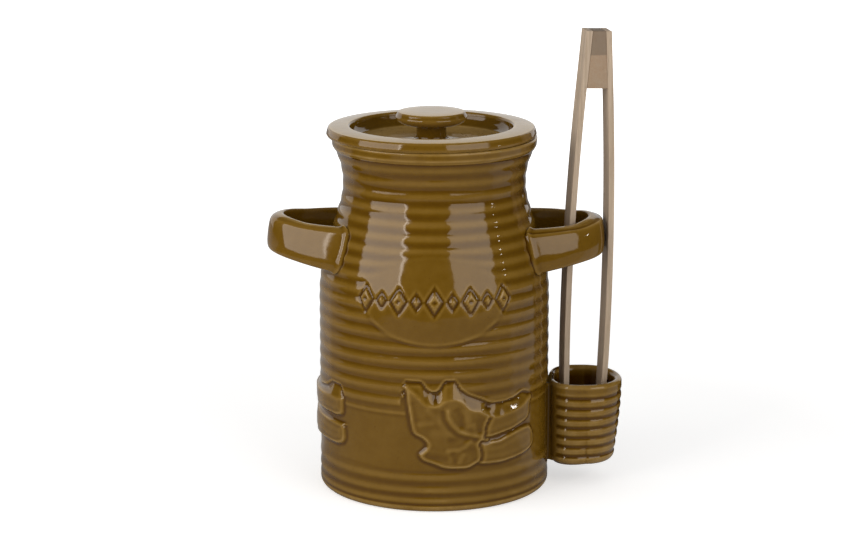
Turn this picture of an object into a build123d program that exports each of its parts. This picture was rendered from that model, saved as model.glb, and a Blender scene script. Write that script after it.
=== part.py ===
"""A ribbed stoneware jar with two ears, a cup for its tongs, a dished lid and wooden tongs.

Millimetres, +Z up. The origin is the centre of the jar's foot, on the surface it stands on.
Azimuths are in degrees round the jar, 0 at the front (-Y) and rising towards the cup (+X).
"""

import os
from math import atan2, cos, pi, radians, sin, sqrt, tan

from build123d import *

os.makedirs("parts", exist_ok=True)

# Jar wall
body_radius = 62.9
heel = 3.3
wall = 5.2
floor_thickness = 8.0
floor_corner = 7.0
foot_ring_width = 8.0
foot_recess = 1.5
overrun = 5.0

# Rim and mouth
rim_height = 193.4
rim_radius = 56.4
rim_width = 6.8
rim_swell = 0.9
bead_height = 6.8
bead_step = 2.4
mouth_depth = 10.4

# Jar side, measured in and down from the rim: the hollow neck and the shoulder
neck_draw = 6.7
neck_depth = 24.9
shoulder_depth = 87.4
slope_share = 0.738
shoulder_sweep_share = 0.7

# Throwing ribs, their pitch measured along the side
rib_pitch = 7.3
rib_depth = 0.75
lower_rib_count = 3
frieze_low = 22.9
frieze_high = 57.0

# Smooth oval on the front
medallion_width = 82.0
medallion_tall = 50.0
medallion_lift = 10.5

# Relief in the smooth frieze
relief = 2.0
relief_root = 1.6
leaf_width = 46.6
leaf_tall = 47.0
leaf_height = 47.6
leaf_azimuth = 5.5
gherkin_tall = 12.4
gherkin_step = 15.4
left_gherkins_low = 36.6
left_gherkins_from = -116.0
left_gherkins_to = -57.0
right_gherkins_low = 33.0
right_gherkins_from = 22.0
right_gherkins_to = 52.0
leaf_outline_shares = [
    (-0.99, 1.00), (-0.92, 0.53), (-0.83, 0.14), (-0.49, -0.22), (-0.47, -0.41),
    (-0.58, -0.60), (-0.49, -0.75), (-0.07, -0.94), (0.40, -1.00), (0.67, -0.94),
    (0.86, -0.79), (0.88, -0.49), (0.99, -0.37), (0.94, -0.22), (1.00, 0.06),
    (0.94, 0.25), (0.67, 0.40), (0.40, 0.57), (0.12, 0.66), (-0.12, 0.46),
    (-0.40, 0.59), (-0.67, 0.78),
]  # fmt: skip

# Ears: thick upright bands bent into horizontal loops, oval when seen from above
left_ear_half_length = 60.0
left_ear_half_width = 36.0
right_ear_half_length = 46.0
right_ear_half_width = 29.0
ear_band = 9.0
ear_lift = 19.6
ear_root_tall = 23.0
ear_tip_tall = 18.2
ear_tip_rise = 6.0
ear_bevel = 2.8
left_ear_overhang = 28.2
right_ear_drop = 2.5

# Cup for the tongs
cup_radius = 20.5
cup_heel_radius = 16.8
cup_bite = 0.5
cup_bottom = 12.0
cup_rim = 58.7
cup_wall = 4.4
cup_heel = 3.4
cup_floor = 4.2
cup_floor_bore = 13.7
cup_lip_bevel = 1.4
cup_lip = 7.2
cup_rib_count = 6
cup_rib_depth = 0.65
web_width = 21.0
web_drop = 1.6

# Lid: a dished plate with a raised ring, a skirt and a mushroom knob
lid_overhang = 0.5
lid_shift = 1.6
lid_ring_height = 5.9
lid_edge_height = 4.4
lid_edge_bevel = 1.5
lid_ring_inset = 13.0
lid_dish_hollow = 6.9
lid_dish_depth = 7.5
lid_plate = 5.0
skirt_play = 2.4
skirt_wall = 5.0
skirt_end_play = 1.0
knob_radius = 19.4
knob_thickness = 6.2
knob_height = 15.0
knob_stem_radius = 8.1
knob_bevel = 1.9
knob_flare = 2.0

# Wooden tongs
arm_thickness = 3.2
arm_width = 14.0
tip_width = 8.2
tip_taper_length = 52.0
tongs_length = 234.0
block_length = 31.0
block_top_width = 7.2
block_low_width = 11.4
bow_height = 62.0
standing_gap = 0.55
bore_play = 0.9
ear_play = 0.5
tongs_lean = 1.5
tongs_yaw = 9.0
tongs_shift = 0.8


foot_radius = body_radius - heel
mouth_radius = rim_radius - rim_width
bead_low = rim_height - bead_height
neck_radius = rim_radius - neck_draw
neck_height = rim_height - neck_depth
shoulder_height = rim_height - shoulder_depth

# The side leaves the body on one arc, leans in along a line and turns upright on a second arc
draw_in = body_radius - neck_radius
draw_up = neck_height - shoulder_height
side_angle = 2 * slope_share * atan2(draw_in, draw_up)
both_sweeps = (draw_up * tan(side_angle) - draw_in) * cos(side_angle) / (1 - cos(side_angle))
shoulder_sweep = shoulder_sweep_share * both_sweeps
neck_sweep = both_sweeps - shoulder_sweep
shoulder_end = shoulder_height + shoulder_sweep * sin(side_angle)
neck_start = neck_height - neck_sweep * sin(side_angle)

# From there it flares to the root of the bead
flare_out = rim_radius - bead_step - neck_radius
flare_up = bead_low - neck_height
flare_sweep = (flare_up**2 + flare_out**2) / (2 * flare_out)


def side_radius(height):
    """Radius of the jar over the tops of its ribs at a height."""
    if height <= shoulder_height:
        return body_radius
    if height <= shoulder_end:
        return body_radius - shoulder_sweep + sqrt(shoulder_sweep**2 - (height - shoulder_height) ** 2)
    if height <= neck_start:
        return side_radius(shoulder_end) - (height - shoulder_end) * tan(side_angle)
    if height <= neck_height:
        return neck_radius + neck_sweep - sqrt(neck_sweep**2 - (neck_height - height) ** 2)
    return neck_radius + flare_sweep - sqrt(flare_sweep**2 - (height - neck_height) ** 2)


def side_slope(height):
    """Angle of the side from the vertical at a height, in radians."""
    if height <= shoulder_height:
        return 0.0
    if height <= shoulder_end:
        return (height - shoulder_height) / shoulder_sweep
    if height <= neck_start:
        return side_angle
    if height <= neck_height:
        return (neck_height - height) / neck_sweep
    return (height - neck_height) / flare_sweep


def radial_plane(azimuth, origin=(0, 0, 0)):
    """Upright plane through the jar's axis, with x outwards at the azimuth and y up."""
    outward = Vector(sin(radians(azimuth)), -cos(radians(azimuth)), 0)
    return Plane(origin=origin, x_dir=outward, z_dir=outward.cross(Vector(0, 0, 1)))


def facing_plane(azimuth, height, distance):
    """Upright plane that faces outwards at the azimuth, at a distance from the jar's axis."""
    outward = Vector(sin(radians(azimuth)), -cos(radians(azimuth)), 0)
    place = outward * distance + Vector(0, 0, height)
    return Plane(origin=place, x_dir=Vector(0, 0, 1).cross(outward), z_dir=outward)


crest_heights = [frieze_high + rib_pitch / 2]
while crest_heights[-1] + rib_pitch < bead_low:
    last_crest = crest_heights[-1]
    crest_heights.append(last_crest + rib_pitch * cos(side_slope(last_crest)))
lower_crests = [frieze_low - rib_pitch * (step + 0.5) for step in reversed(range(lower_rib_count))]


def rib_points(crests):
    """Zigzag over a run of crests, with a groove halfway between each two."""
    points = []
    for low, high in zip(crests, crests[1:] + [None]):
        points.append((side_radius(low), low))
        if high is not None:
            middle = (low + high) / 2
            points.append((side_radius(middle) - rib_depth, middle))
    return points


frieze_radius = body_radius - rib_depth
bead_root = side_radius(bead_low) - rib_depth


# Outside of the jar as a solid, which the ears and the cup are fitted to
with BuildPart() as jar_block:
    with BuildSketch(Plane.XZ):
        with BuildLine():
            Polyline(
                (0, 0),
                (foot_radius, 0),
                (body_radius, body_radius - foot_radius),
                *rib_points(lower_crests),
                (frieze_radius, frieze_low),
                (frieze_radius, frieze_high),
                *rib_points(crest_heights),
                (bead_root, bead_low),
            )
            ThreePointArc(
                (bead_root, bead_low),
                ((bead_root + rim_radius) / 2 + rim_swell, rim_height - bead_height / 2),
                (rim_radius, rim_height),
            )
            Polyline((rim_radius, rim_height), (0, rim_height), (0, 0))
        make_face()
    revolve(axis=Axis.Z)


def smooth_shape(growth):
    """The jar's body and shoulder without ribs, grown outwards by a length."""
    shoulder_normal = Vector(cos(side_angle), sin(side_angle)) * growth
    shoulder_middle = side_angle / 2
    centre = Vector(body_radius - shoulder_sweep, shoulder_height)
    reach = shoulder_sweep + growth
    with BuildPart() as shape:
        with BuildSketch(Plane.XZ):
            with BuildLine():
                Polyline((0, 0), (body_radius + growth, 0), (body_radius + growth, shoulder_height))
                ThreePointArc(
                    (body_radius + growth, shoulder_height),
                    centre + Vector(cos(shoulder_middle), sin(shoulder_middle)) * reach,
                    centre + Vector(cos(side_angle), sin(side_angle)) * reach,
                )
                Polyline(
                    centre + Vector(cos(side_angle), sin(side_angle)) * reach,
                    Vector(side_radius(neck_start), neck_start) + shoulder_normal,
                    (0, neck_start + shoulder_normal.Y),
                    (0, 0),
                )
            make_face()
        revolve(axis=Axis.Z)
    return shape.part


def gherkin(azimuth_from, azimuth_to, height):
    """A rounded bar that lies round the jar's side, with domed ends."""
    root = frieze_radius - relief_root
    crown = frieze_radius + relief
    with BuildPart() as bar:
        with BuildSketch(radial_plane(azimuth_from)):
            with BuildLine():
                ThreePointArc(
                    (root, height - gherkin_tall / 2),
                    (crown, height),
                    (root, height + gherkin_tall / 2),
                )
                Line((root, height + gherkin_tall / 2), (root, height - gherkin_tall / 2))
            make_face()
        revolve(axis=Axis.Z, revolution_arc=azimuth_to - azimuth_from)
        for azimuth in (azimuth_from, azimuth_to):
            end = radial_plane(azimuth)
            with BuildSketch(end):
                with BuildLine():
                    ThreePointArc(
                        (root, height - gherkin_tall / 2),
                        (crown, height),
                        (root, height + gherkin_tall / 2),
                    )
                    Line((root, height + gherkin_tall / 2), (root, height - gherkin_tall / 2))
                make_face()
                split(bisect_by=Plane.XZ.offset(-height), keep=Keep.TOP)
            revolve(axis=Axis((0, 0, height), end.x_dir))
    return bar.part


with BuildPart() as medallion:
    with BuildSketch(facing_plane(0, shoulder_height + medallion_lift, 0)):
        Ellipse(medallion_width / 2, medallion_tall / 2)
    extrude(amount=body_radius + overrun)
    add(smooth_shape(0), mode=Mode.INTERSECT)
    add(smooth_shape(-rib_depth - relief_root), mode=Mode.SUBTRACT)

with BuildPart() as leaf:
    with BuildSketch(facing_plane(leaf_azimuth, leaf_height, 0)):
        with BuildLine():
            Polyline(
                *[(x * leaf_width / 2, y * leaf_tall / 2) for x, y in leaf_outline_shares],
                close=True,
            )
        make_face()
    extrude(amount=body_radius + overrun)
    add(smooth_shape(relief - rib_depth), mode=Mode.INTERSECT)
    add(smooth_shape(-rib_depth - relief_root), mode=Mode.SUBTRACT)

with BuildPart(mode=Mode.PRIVATE) as reliefs:
    add(medallion.part)
    add(leaf.part)
    for low, start, end in (
        (left_gherkins_low, left_gherkins_from, left_gherkins_to),
        (right_gherkins_low, right_gherkins_from, right_gherkins_to),
    ):
        for height in (low, low + gherkin_step):
            add(gherkin(start, end, height))

inner_radius = body_radius - rib_depth - wall


def inside_radius(height):
    """Radius of the jar's inside at a height."""
    return side_radius(height) - rib_depth - wall


with BuildPart() as jar_body:
    add(jar_block.part)
    add(reliefs.part)
    with BuildSketch(Plane.XZ):
        with BuildLine():
            Polyline(
                (0, floor_thickness),
                (inner_radius - floor_corner, floor_thickness),
                (inner_radius, floor_thickness + floor_corner),
                (inner_radius, shoulder_height),
            )
            shoulder_middle = (shoulder_height + shoulder_end) / 2
            ThreePointArc(
                (inner_radius, shoulder_height),
                (inside_radius(shoulder_middle), shoulder_middle),
                (inside_radius(shoulder_end), shoulder_end),
            )
            Line((inside_radius(shoulder_end), shoulder_end), (inside_radius(neck_start), neck_start))
            neck_middle = (neck_start + neck_height) / 2
            ThreePointArc(
                (inside_radius(neck_start), neck_start),
                (inside_radius(neck_middle), neck_middle),
                (inside_radius(neck_height), neck_height),
            )
            Polyline(
                (inside_radius(neck_height), neck_height),
                (mouth_radius, rim_height - mouth_depth),
                (mouth_radius, rim_height + overrun),
                (0, rim_height + overrun),
                (0, floor_thickness),
            )
        make_face()
    revolve(axis=Axis.Z, mode=Mode.SUBTRACT)
    with BuildSketch(Plane.XY):
        Circle(foot_radius - foot_ring_width)
    extrude(amount=foot_recess, mode=Mode.SUBTRACT)
jar_body.part.label = "jar_body"
export_step(jar_body.part, "parts/jar_body.step")

# Line the tongs stand on: it leans outwards from the cup's floor
cup_x = body_radius + cup_radius - cup_bite
cup_floor_height = cup_bottom + cup_floor
cup_bore = cup_radius - cup_wall
tongs_foot = cup_floor_height + standing_gap
tongs_foot_x = cup_x - tongs_shift - (cup_rim - tongs_foot) * tan(radians(tongs_lean))


def tongs_x(height):
    """Where the tongs' middle line crosses a height."""
    return tongs_foot_x + (height - tongs_foot) * tan(radians(tongs_lean))


def room_in_bore(bore, width, offset):
    """How far an arm of a width reaches from the tongs' line inside a round bore."""
    return sqrt((bore - bore_play) ** 2 - (width / 2) ** 2) - offset


bow_gap = room_in_bore(cup_bore, arm_width, tongs_shift) - arm_thickness
tip_gap = room_in_bore(cup_floor_bore, tip_width, cup_x - tongs_foot_x) - arm_thickness

block_low = tongs_length - block_length

ear_root_low = shoulder_height + ear_lift
ear_root_high = ear_root_low + ear_root_tall
ear_tip_low = ear_root_low + ear_tip_rise
ear_tip_high = ear_tip_low + ear_tip_tall


def arm_gap(height):
    """Half the gap between the arms at a height above their tips, from the bow to the block."""
    glued_slope = (block_low_width - block_top_width) / 2 / block_length
    free_length = block_low - bow_height
    down = block_low - height
    bend = (glued_slope * free_length - (bow_gap - block_low_width / 2)) / free_length**2
    return block_low_width / 2 + glued_slope * down - bend * down**2


# The outer arm passes just outside the right ear, which sets how far that ear reaches
turn = radians(tongs_yaw)
right_ear_middle = (ear_tip_low + ear_tip_high) / 2 - right_ear_drop
right_ear_bulge = sqrt((right_ear_half_length * cos(turn)) ** 2 + (right_ear_half_width * sin(turn)) ** 2)
ear_to_tongs = right_ear_bulge + ear_play - arm_gap(right_ear_middle - tongs_foot)
right_ear_reach = tongs_x(right_ear_middle) + right_ear_half_length - ear_to_tongs / cos(turn)


def ear(side, reach, half_length, half_width, drop):
    """An ear on one side of the jar: an oval loop seen from above, tapering and rising outwards."""
    centre = reach - half_length
    root = side_radius(ear_root_low)
    with BuildPart() as loop:
        with BuildSketch(Plane.XY.offset(ear_root_low - overrun - drop)):
            with Locations((side * centre, 0)):
                Ellipse(half_length, half_width)
                Ellipse(half_length - ear_band, half_width - ear_band, mode=Mode.SUBTRACT)
        extrude(amount=ear_tip_high - ear_root_low + 2 * overrun)
        rise_low = (ear_tip_low - ear_root_low) / (reach - root)
        rise_high = (ear_tip_high - ear_root_high) / (reach - root)
        with BuildSketch(Plane.XZ.offset(-half_width - overrun)):
            Polygon(
                (0, ear_root_low - rise_low * root - drop),
                (side * (reach + overrun), ear_tip_low + rise_low * overrun - drop),
                (side * (reach + overrun), ear_tip_high + rise_high * overrun - drop),
                (0, ear_root_high - rise_high * root - drop),
                align=None,
            )
        extrude(amount=2 * (half_width + overrun), mode=Mode.INTERSECT)
        level_faces = loop.faces().filter_by(lambda face: abs(face.normal_at().Z) > cos(pi / 6))
        rims = [edge for edge in level_faces.edges() if abs(edge.center().X) > overrun]
        chamfer(rims, min(ear_bevel, ear_band / 3))
        add(jar_block.part, mode=Mode.SUBTRACT)
    return loop.part


for name, ear_part in (
    (
        "left_ear",
        ear(-1, body_radius + left_ear_overhang, left_ear_half_length, left_ear_half_width, 0),
    ),
    (
        "right_ear",
        ear(1, right_ear_reach, right_ear_half_length, right_ear_half_width, right_ear_drop),
    ),
):
    ear_part.label = name
    export_step(ear_part, f"parts/{name}.step")

cup_rib_low = cup_bottom + cup_heel
cup_rib_high = cup_rim - cup_lip
cup_rib_pitch = (cup_rib_high - cup_rib_low) / cup_rib_count


def cup_side(height):
    """Radius of the cup over its ribs at a height below the lip."""
    share = (height - cup_rib_low) / (cup_rib_high - cup_rib_low)
    return cup_heel_radius + share * (cup_radius - cup_heel_radius)


with BuildPart() as tongs_cup:
    with BuildSketch(radial_plane(90, (cup_x, 0, 0))):
        with BuildLine():
            ribs = [(cup_heel_radius - cup_rib_depth, cup_rib_low)]
            for rib in range(cup_rib_count):
                crest = cup_rib_low + (rib + 0.5) * cup_rib_pitch
                groove = cup_rib_low + (rib + 1) * cup_rib_pitch
                ribs.append((cup_side(crest), crest))
                ribs.append((cup_side(groove) - cup_rib_depth, groove))
            Polyline(
                (0, cup_bottom),
                (cup_heel_radius - cup_heel, cup_bottom),
                *ribs,
                (cup_radius, cup_rib_high + cup_rib_depth),
                (cup_radius, cup_rim - cup_lip_bevel),
                (cup_radius - cup_lip_bevel, cup_rim),
                (0, cup_rim),
                (0, cup_bottom),
            )
        make_face()
    revolve(axis=Axis((cup_x, 0, 0), (0, 0, 1)))
    with BuildSketch(Plane.XY.offset(cup_bottom + web_drop)):
        with Locations((cup_x / 2, 0)):
            Rectangle(cup_x, web_width)
    extrude(amount=cup_rim - cup_bottom - 2 * web_drop)
    with BuildSketch(radial_plane(90, (cup_x, 0, 0))):
        Polygon(
            (0, cup_floor_height),
            (cup_floor_bore, cup_floor_height),
            (cup_bore, cup_rim - cup_lip_bevel),
            (cup_bore + overrun, cup_rim - cup_lip_bevel + overrun),
            (0, cup_rim - cup_lip_bevel + overrun),
            align=None,
        )
    revolve(axis=Axis((cup_x, 0, 0), (0, 0, 1)), mode=Mode.SUBTRACT)
    add(jar_block.part, mode=Mode.SUBTRACT)
tongs_cup.part.label = "tongs_cup"
export_step(tongs_cup.part, "parts/tongs_cup.step")

# Lid, a little off the jar's axis within the play of its skirt
lid_radius = rim_radius + lid_overhang
lid_ring_radius = lid_radius - lid_ring_inset
lid_dish_radius = lid_ring_radius - lid_dish_hollow
skirt_radius = mouth_radius - skirt_play
skirt_length = mouth_depth - skirt_end_play
dish_floor = rim_height + lid_ring_height - lid_dish_depth
lid_plane = Plane(origin=(-lid_shift, 0, 0), x_dir=(1, 0, 0), z_dir=(0, -1, 0))
lid_axis = Axis((-lid_shift, 0, 0), (0, 0, 1))

with BuildPart() as lid:
    with BuildSketch(lid_plane):
        with BuildLine():
            Polyline(
                (0, dish_floor),
                (0, dish_floor - lid_plate),
                (skirt_radius - skirt_wall, dish_floor - lid_plate),
                (skirt_radius - skirt_wall, rim_height - skirt_length),
                (skirt_radius, rim_height - skirt_length),
                (skirt_radius, rim_height),
                (lid_radius - lid_edge_bevel, rim_height),
                (lid_radius, rim_height + lid_edge_bevel),
                (lid_radius, rim_height + lid_edge_height - lid_edge_bevel),
                (lid_radius - lid_edge_bevel, rim_height + lid_edge_height),
                (lid_ring_radius, rim_height + lid_ring_height),
            )
            TangentArc(
                (lid_dish_radius, dish_floor),
                (lid_ring_radius, rim_height + lid_ring_height),
                tangent=(1, 0),
            )
            Line((lid_dish_radius, dish_floor), (0, dish_floor))
        make_face()
    revolve(axis=lid_axis)
lid.part.label = "lid"
export_step(lid.part, "parts/lid.step")

with BuildPart() as lid_knob:
    knob_top = dish_floor + knob_height
    knob_under = knob_top - knob_thickness
    with BuildSketch(lid_plane):
        Polygon(
            (0, dish_floor),
            (knob_stem_radius, dish_floor),
            (knob_stem_radius, knob_under - knob_flare),
            (knob_stem_radius + knob_flare, knob_under),
            (knob_radius, knob_under),
            (knob_radius, knob_top),
            (0, knob_top),
            align=None,
        )
    revolve(axis=lid_axis)
    edge_rings = lid_knob.edges().filter_by(GeomType.CIRCLE).group_by(SortBy.RADIUS)[-1]
    chamfer(edge_rings, min(knob_bevel, knob_thickness / 3))
lid_knob.part.label = "lid_knob"
export_step(lid_knob.part, "parts/lid_knob.step")

# Tongs, drawn in the upright plane of their two arms: x across the gap, y along the arms
lean = radians(tongs_lean)
across = Vector(cos(lean) * cos(turn), cos(lean) * sin(turn), -sin(lean))
along_width = Vector(-sin(turn), cos(turn), 0)
tongs_origin = (tongs_foot_x, 0, tongs_foot)
tongs_plane = Plane(origin=tongs_origin, x_dir=across, z_dir=along_width * -1)
width_plane = Plane(origin=tongs_origin, x_dir=along_width, z_dir=across)


def arm(side):
    """One springy arm: straight beside the block, bowed below it and narrowed at its tip."""
    with BuildPart() as lath:
        with BuildSketch(tongs_plane):
            with BuildLine():
                for depth in (0, arm_thickness):
                    glued = Line(
                        (side * (block_top_width / 2 + depth), tongs_length),
                        (side * (block_low_width / 2 + depth), block_low),
                    )
                    bow = TangentArc(glued @ 1, (side * (bow_gap + depth), bow_height), tangent=glued % 1)
                    TangentArc(bow @ 1, (side * (tip_gap + depth), 0), tangent=bow % 1)
                for height, gap in ((tongs_length, block_top_width / 2), (0, tip_gap)):
                    Line((side * gap, height), (side * (gap + arm_thickness), height))
            make_face()
        extrude(amount=arm_width / 2, both=True)
        with BuildSketch(width_plane):
            Polygon(
                (-tip_width / 2, 0),
                (tip_width / 2, 0),
                (arm_width / 2, tip_taper_length),
                (arm_width / 2, tongs_length),
                (-arm_width / 2, tongs_length),
                (-arm_width / 2, tip_taper_length),
                align=None,
            )
        extrude(amount=side * (bow_gap + arm_thickness + overrun), mode=Mode.INTERSECT)
    return lath.part


with BuildPart() as tongs_block:
    with BuildSketch(tongs_plane):
        Polygon(
            (-block_low_width / 2, block_low),
            (block_low_width / 2, block_low),
            (block_top_width / 2, tongs_length),
            (-block_top_width / 2, tongs_length),
            align=None,
        )
    extrude(amount=arm_width / 2, both=True)
tongs_block.part.label = "tongs_block"
export_step(tongs_block.part, "parts/tongs_block.step")

for name, side in (("tongs_inner_arm", -1), ("tongs_outer_arm", 1)):
    arm_part = arm(side)
    arm_part.label = name
    export_step(arm_part, f"parts/{name}.step")
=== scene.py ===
"""Looks of a ribbed stoneware jar with its lid, its ears, and a cup that holds wooden tongs.

Metres, +Z up. Azimuths are in degrees round the jar, 0 at the front (-Y) and rising towards the
cup (+X).
"""

from math import atan2, cos, degrees, hypot, pi, radians, sin, tan

import bpy
import numpy as np
from bpy.props import FloatProperty, FloatVectorProperty, IntProperty, PointerProperty
from mathutils import Matrix, Vector


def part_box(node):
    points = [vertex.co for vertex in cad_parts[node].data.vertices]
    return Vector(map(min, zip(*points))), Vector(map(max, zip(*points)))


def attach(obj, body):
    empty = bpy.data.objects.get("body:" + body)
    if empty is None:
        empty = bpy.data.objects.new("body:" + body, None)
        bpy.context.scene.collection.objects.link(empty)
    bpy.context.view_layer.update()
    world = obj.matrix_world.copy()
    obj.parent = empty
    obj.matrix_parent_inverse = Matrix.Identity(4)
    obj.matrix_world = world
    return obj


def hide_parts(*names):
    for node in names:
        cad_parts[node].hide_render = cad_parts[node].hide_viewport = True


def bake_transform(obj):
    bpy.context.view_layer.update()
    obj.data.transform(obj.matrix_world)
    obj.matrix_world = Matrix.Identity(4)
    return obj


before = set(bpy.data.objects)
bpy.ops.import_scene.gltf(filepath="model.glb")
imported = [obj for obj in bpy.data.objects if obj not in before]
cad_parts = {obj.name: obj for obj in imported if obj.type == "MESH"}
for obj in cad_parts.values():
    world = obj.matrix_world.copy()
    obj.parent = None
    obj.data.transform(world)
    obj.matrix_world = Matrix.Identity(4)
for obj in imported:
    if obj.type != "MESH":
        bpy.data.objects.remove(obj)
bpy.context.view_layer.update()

bl_info = {
    "name": "Olive Jar",
    "version": (1, 0, 0),
    "blender": (4, 5, 0),
    "location": "View3D > Sidebar > Olive Jar",
    "description": "Models a glazed olive jar, its lid, its tongs cup and its wooden tongs",
    "category": "Add Mesh",
}

MM = 0.001
# Steps of each spin: the ears turn by half, the others wholly
EAR_STEPS, CUP_STEPS, LID_STEPS, KNOB_STEPS = 96, 180, 256, 128
_, JAR_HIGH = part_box("jar_body")
LID_LOW, LID_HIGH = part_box("lid")
_, KNOB_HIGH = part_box("lid_knob")
CUP_LOW, CUP_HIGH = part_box("tongs_cup")
LEFT_EAR_LOW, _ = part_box("left_ear")
_, RIGHT_EAR_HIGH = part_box("right_ear")


def number(name, description, default, **ways):
    """A plain number that a user may change."""
    return FloatProperty(name=name, description=description, default=default, **ways)


def length(name, description, default):
    """A size that a user may change, given in millimetres."""
    return number(name, description, default * MM, unit="LENGTH", precision=5)


def slant(name, description, default):
    """An angle that a user may change, given in degrees."""
    return number(name, description, radians(default), subtype="ANGLE")


def colour(name, description, default):
    """A colour that a user may change, given as it looks on a screen."""
    linear = [((c + 0.055) / 1.055) ** 2.4 if c > 0.04045 else c / 12.92 for c in default]
    return FloatVectorProperty(
        name=name, description=description, default=linear, size=3, subtype="COLOR", min=0, max=1
    )


class JarSizes(bpy.types.PropertyGroup):
    """The clay jar's shape."""

    body_radius: length("Body radius", "Radius over the ribs of the straight body", 62.9)
    heel: length("Heel", "Rounding at the foot", 3.3)
    foot_ring: length("Foot ring", "Width of the ring the jar stands on", 8.0)
    foot_recess: length("Foot recess", "Depth of the hollow foot", 1.5)
    wall: length("Wall", "Thickness of the wall behind the grooves", 5.2)
    floor: length("Floor", "Height of the inside floor", 8.0)
    floor_corner: length("Floor corner", "Rounding between floor and wall", 7.0)
    rim_height: length("Rim height", "Height of the rim under the lid", JAR_HIGH.z / MM)
    rim_radius: length("Rim radius", "Outer radius of the rim", 56.4)
    rim_width: length("Rim width", "Width of the rim at the mouth", 6.8)
    bead_inset: length("Bead inset", "How far the bead's top lies inside the rim's radius", 0.7)
    bead: length("Bead", "Height of the bead under the rim", 6.8)
    bead_step: length("Bead step", "How far the neck lies inside the rim at the bead", 2.4)
    mouth_depth: length("Mouth depth", "Depth of the seat inside the mouth", 10.4)
    neck_draw: length("Neck draw", "How much narrower the neck is than the rim", 6.7)
    neck_depth: length("Neck depth", "Distance from the rim down to the neck", 24.9)
    shoulder_depth: length("Shoulder depth", "Distance from the rim down to the shoulder", 87.4)
    slope_share: number("Slope", "Lean of the shoulder, 0.5 to 1", 0.738)
    sweep_share: number("Sweep", "Shoulder's share of both arcs", 0.7)
    rib_pitch: length("Rib pitch", "Distance from rib to rib", 7.3)
    rib_depth: length("Rib depth", "Depth of the grooves between ribs", 0.32)
    frieze_low: length("Frieze bottom", "Lower edge of the smooth frieze", 22.9)
    frieze_high: length("Frieze top", "Upper edge of the smooth frieze", 57.8)
    relief: length("Relief", "How far leaf and gherkins stand out", 1.5)


class FittingSizes(bpy.types.PropertyGroup):
    """Ears, cup and lid."""

    left_ear_length: length("Left ear length", "Half the length of the left ear's oval", 60.0)
    left_ear_width: length("Left ear width", "Half the width of the left ear's oval", 36.0)
    right_ear_length: length("Right ear length", "Half the length of the right ear's oval", 46.0)
    right_ear_width: length("Right ear width", "Half the width of the right ear's oval", 30.5)
    ear_band: length("Ear band", "Thickness of an ear's band", 9.0)
    ear_root_tall: length("Ear root", "Height of the band at the jar", 23.0)
    ear_tip_tall: length("Ear tip", "Height of the band at its tip", 18.2)
    ear_rise: length("Ear rise", "How much higher the tip's lower edge is than the root's", 6.0)
    ear_lift: length("Ear lift", "Height of an ear's root above the shoulder", 19.6)
    ear_seat: length("Ear seat", "How deep an ear's ends sit in the jar's wall", 3.0)
    right_ear_drop: length("Right ear drop", "How much lower the right ear sits", 2.0)
    right_ear_roll: number("Right ear roll", "Slope up to the right ear's back", 0.10)
    right_ear_belly: number("Right ear belly", "Raises the widest part of the band", 0.17)
    left_ear_tip_lift: length("Left ear tip lift", "How far the left ear's tip is raised", 1.4)
    right_ear_tip_lift: length("Right ear tip lift", "How far the right ear's tip is raised", 2.0)
    cup_width: length("Cup width", "Half the width of the cup, from front to back", 21.6)
    cup_drop: length("Cup drop", "How much narrower the cup is at its heel", 4.2)
    cup_gap: length("Cup gap", "Width of the crease between cup and jar", 0.4)
    cup_wall: length("Cup wall", "Thickness of the cup's wall", 4.4)
    cup_floor: length("Cup floor", "Thickness of the cup's floor", 4.2)
    cup_heel: length("Cup heel", "Height of the lowest groove above the cup's bottom", 6.0)
    cup_ribs: IntProperty(name="Cup ribs", description="Number of ribs on the cup", default=6, min=1)
    cup_rib_pitch: length("Cup rib pitch", "Distance from groove to groove", 5.56)
    cup_rib_depth: length("Cup rib depth", "Depth of the grooves on the cup", 0.5)
    cup_notch: length("Cup notch", "How far the cup's wall is cut down at the jar", 9.0)
    web_width: length("Web width", "Width of the clay that joins the cup to the jar", 21.0)
    lid_ring_inset: length("Lid ring inset", "Distance from the lid's edge to its ridge", 13.0)
    lid_dish_hollow: length("Lid dish hollow", "Width of the dish's curved side", 6.9)
    lid_dish_depth: length("Lid dish depth", "Depth of the dish under the ridge", 7.5)
    lid_ring_fall: length("Lid ring fall", "How much the ring falls to its edge", 0.5)
    lid_plate: length("Lid plate", "Thickness of the lid's floor", 5.0)
    skirt_play: length("Skirt play", "Gap between the lid's skirt and the mouth", 2.4)
    skirt_wall: length("Skirt wall", "Thickness of the lid's skirt", 5.0)
    knob_radius: length("Knob radius", "Radius of the lid's knob", 19.4)
    knob_thickness: length("Knob thickness", "Thickness of the knob's cap", 7.6)
    stem_radius: length("Stem radius", "Radius of the knob's stem", 8.1)


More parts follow.
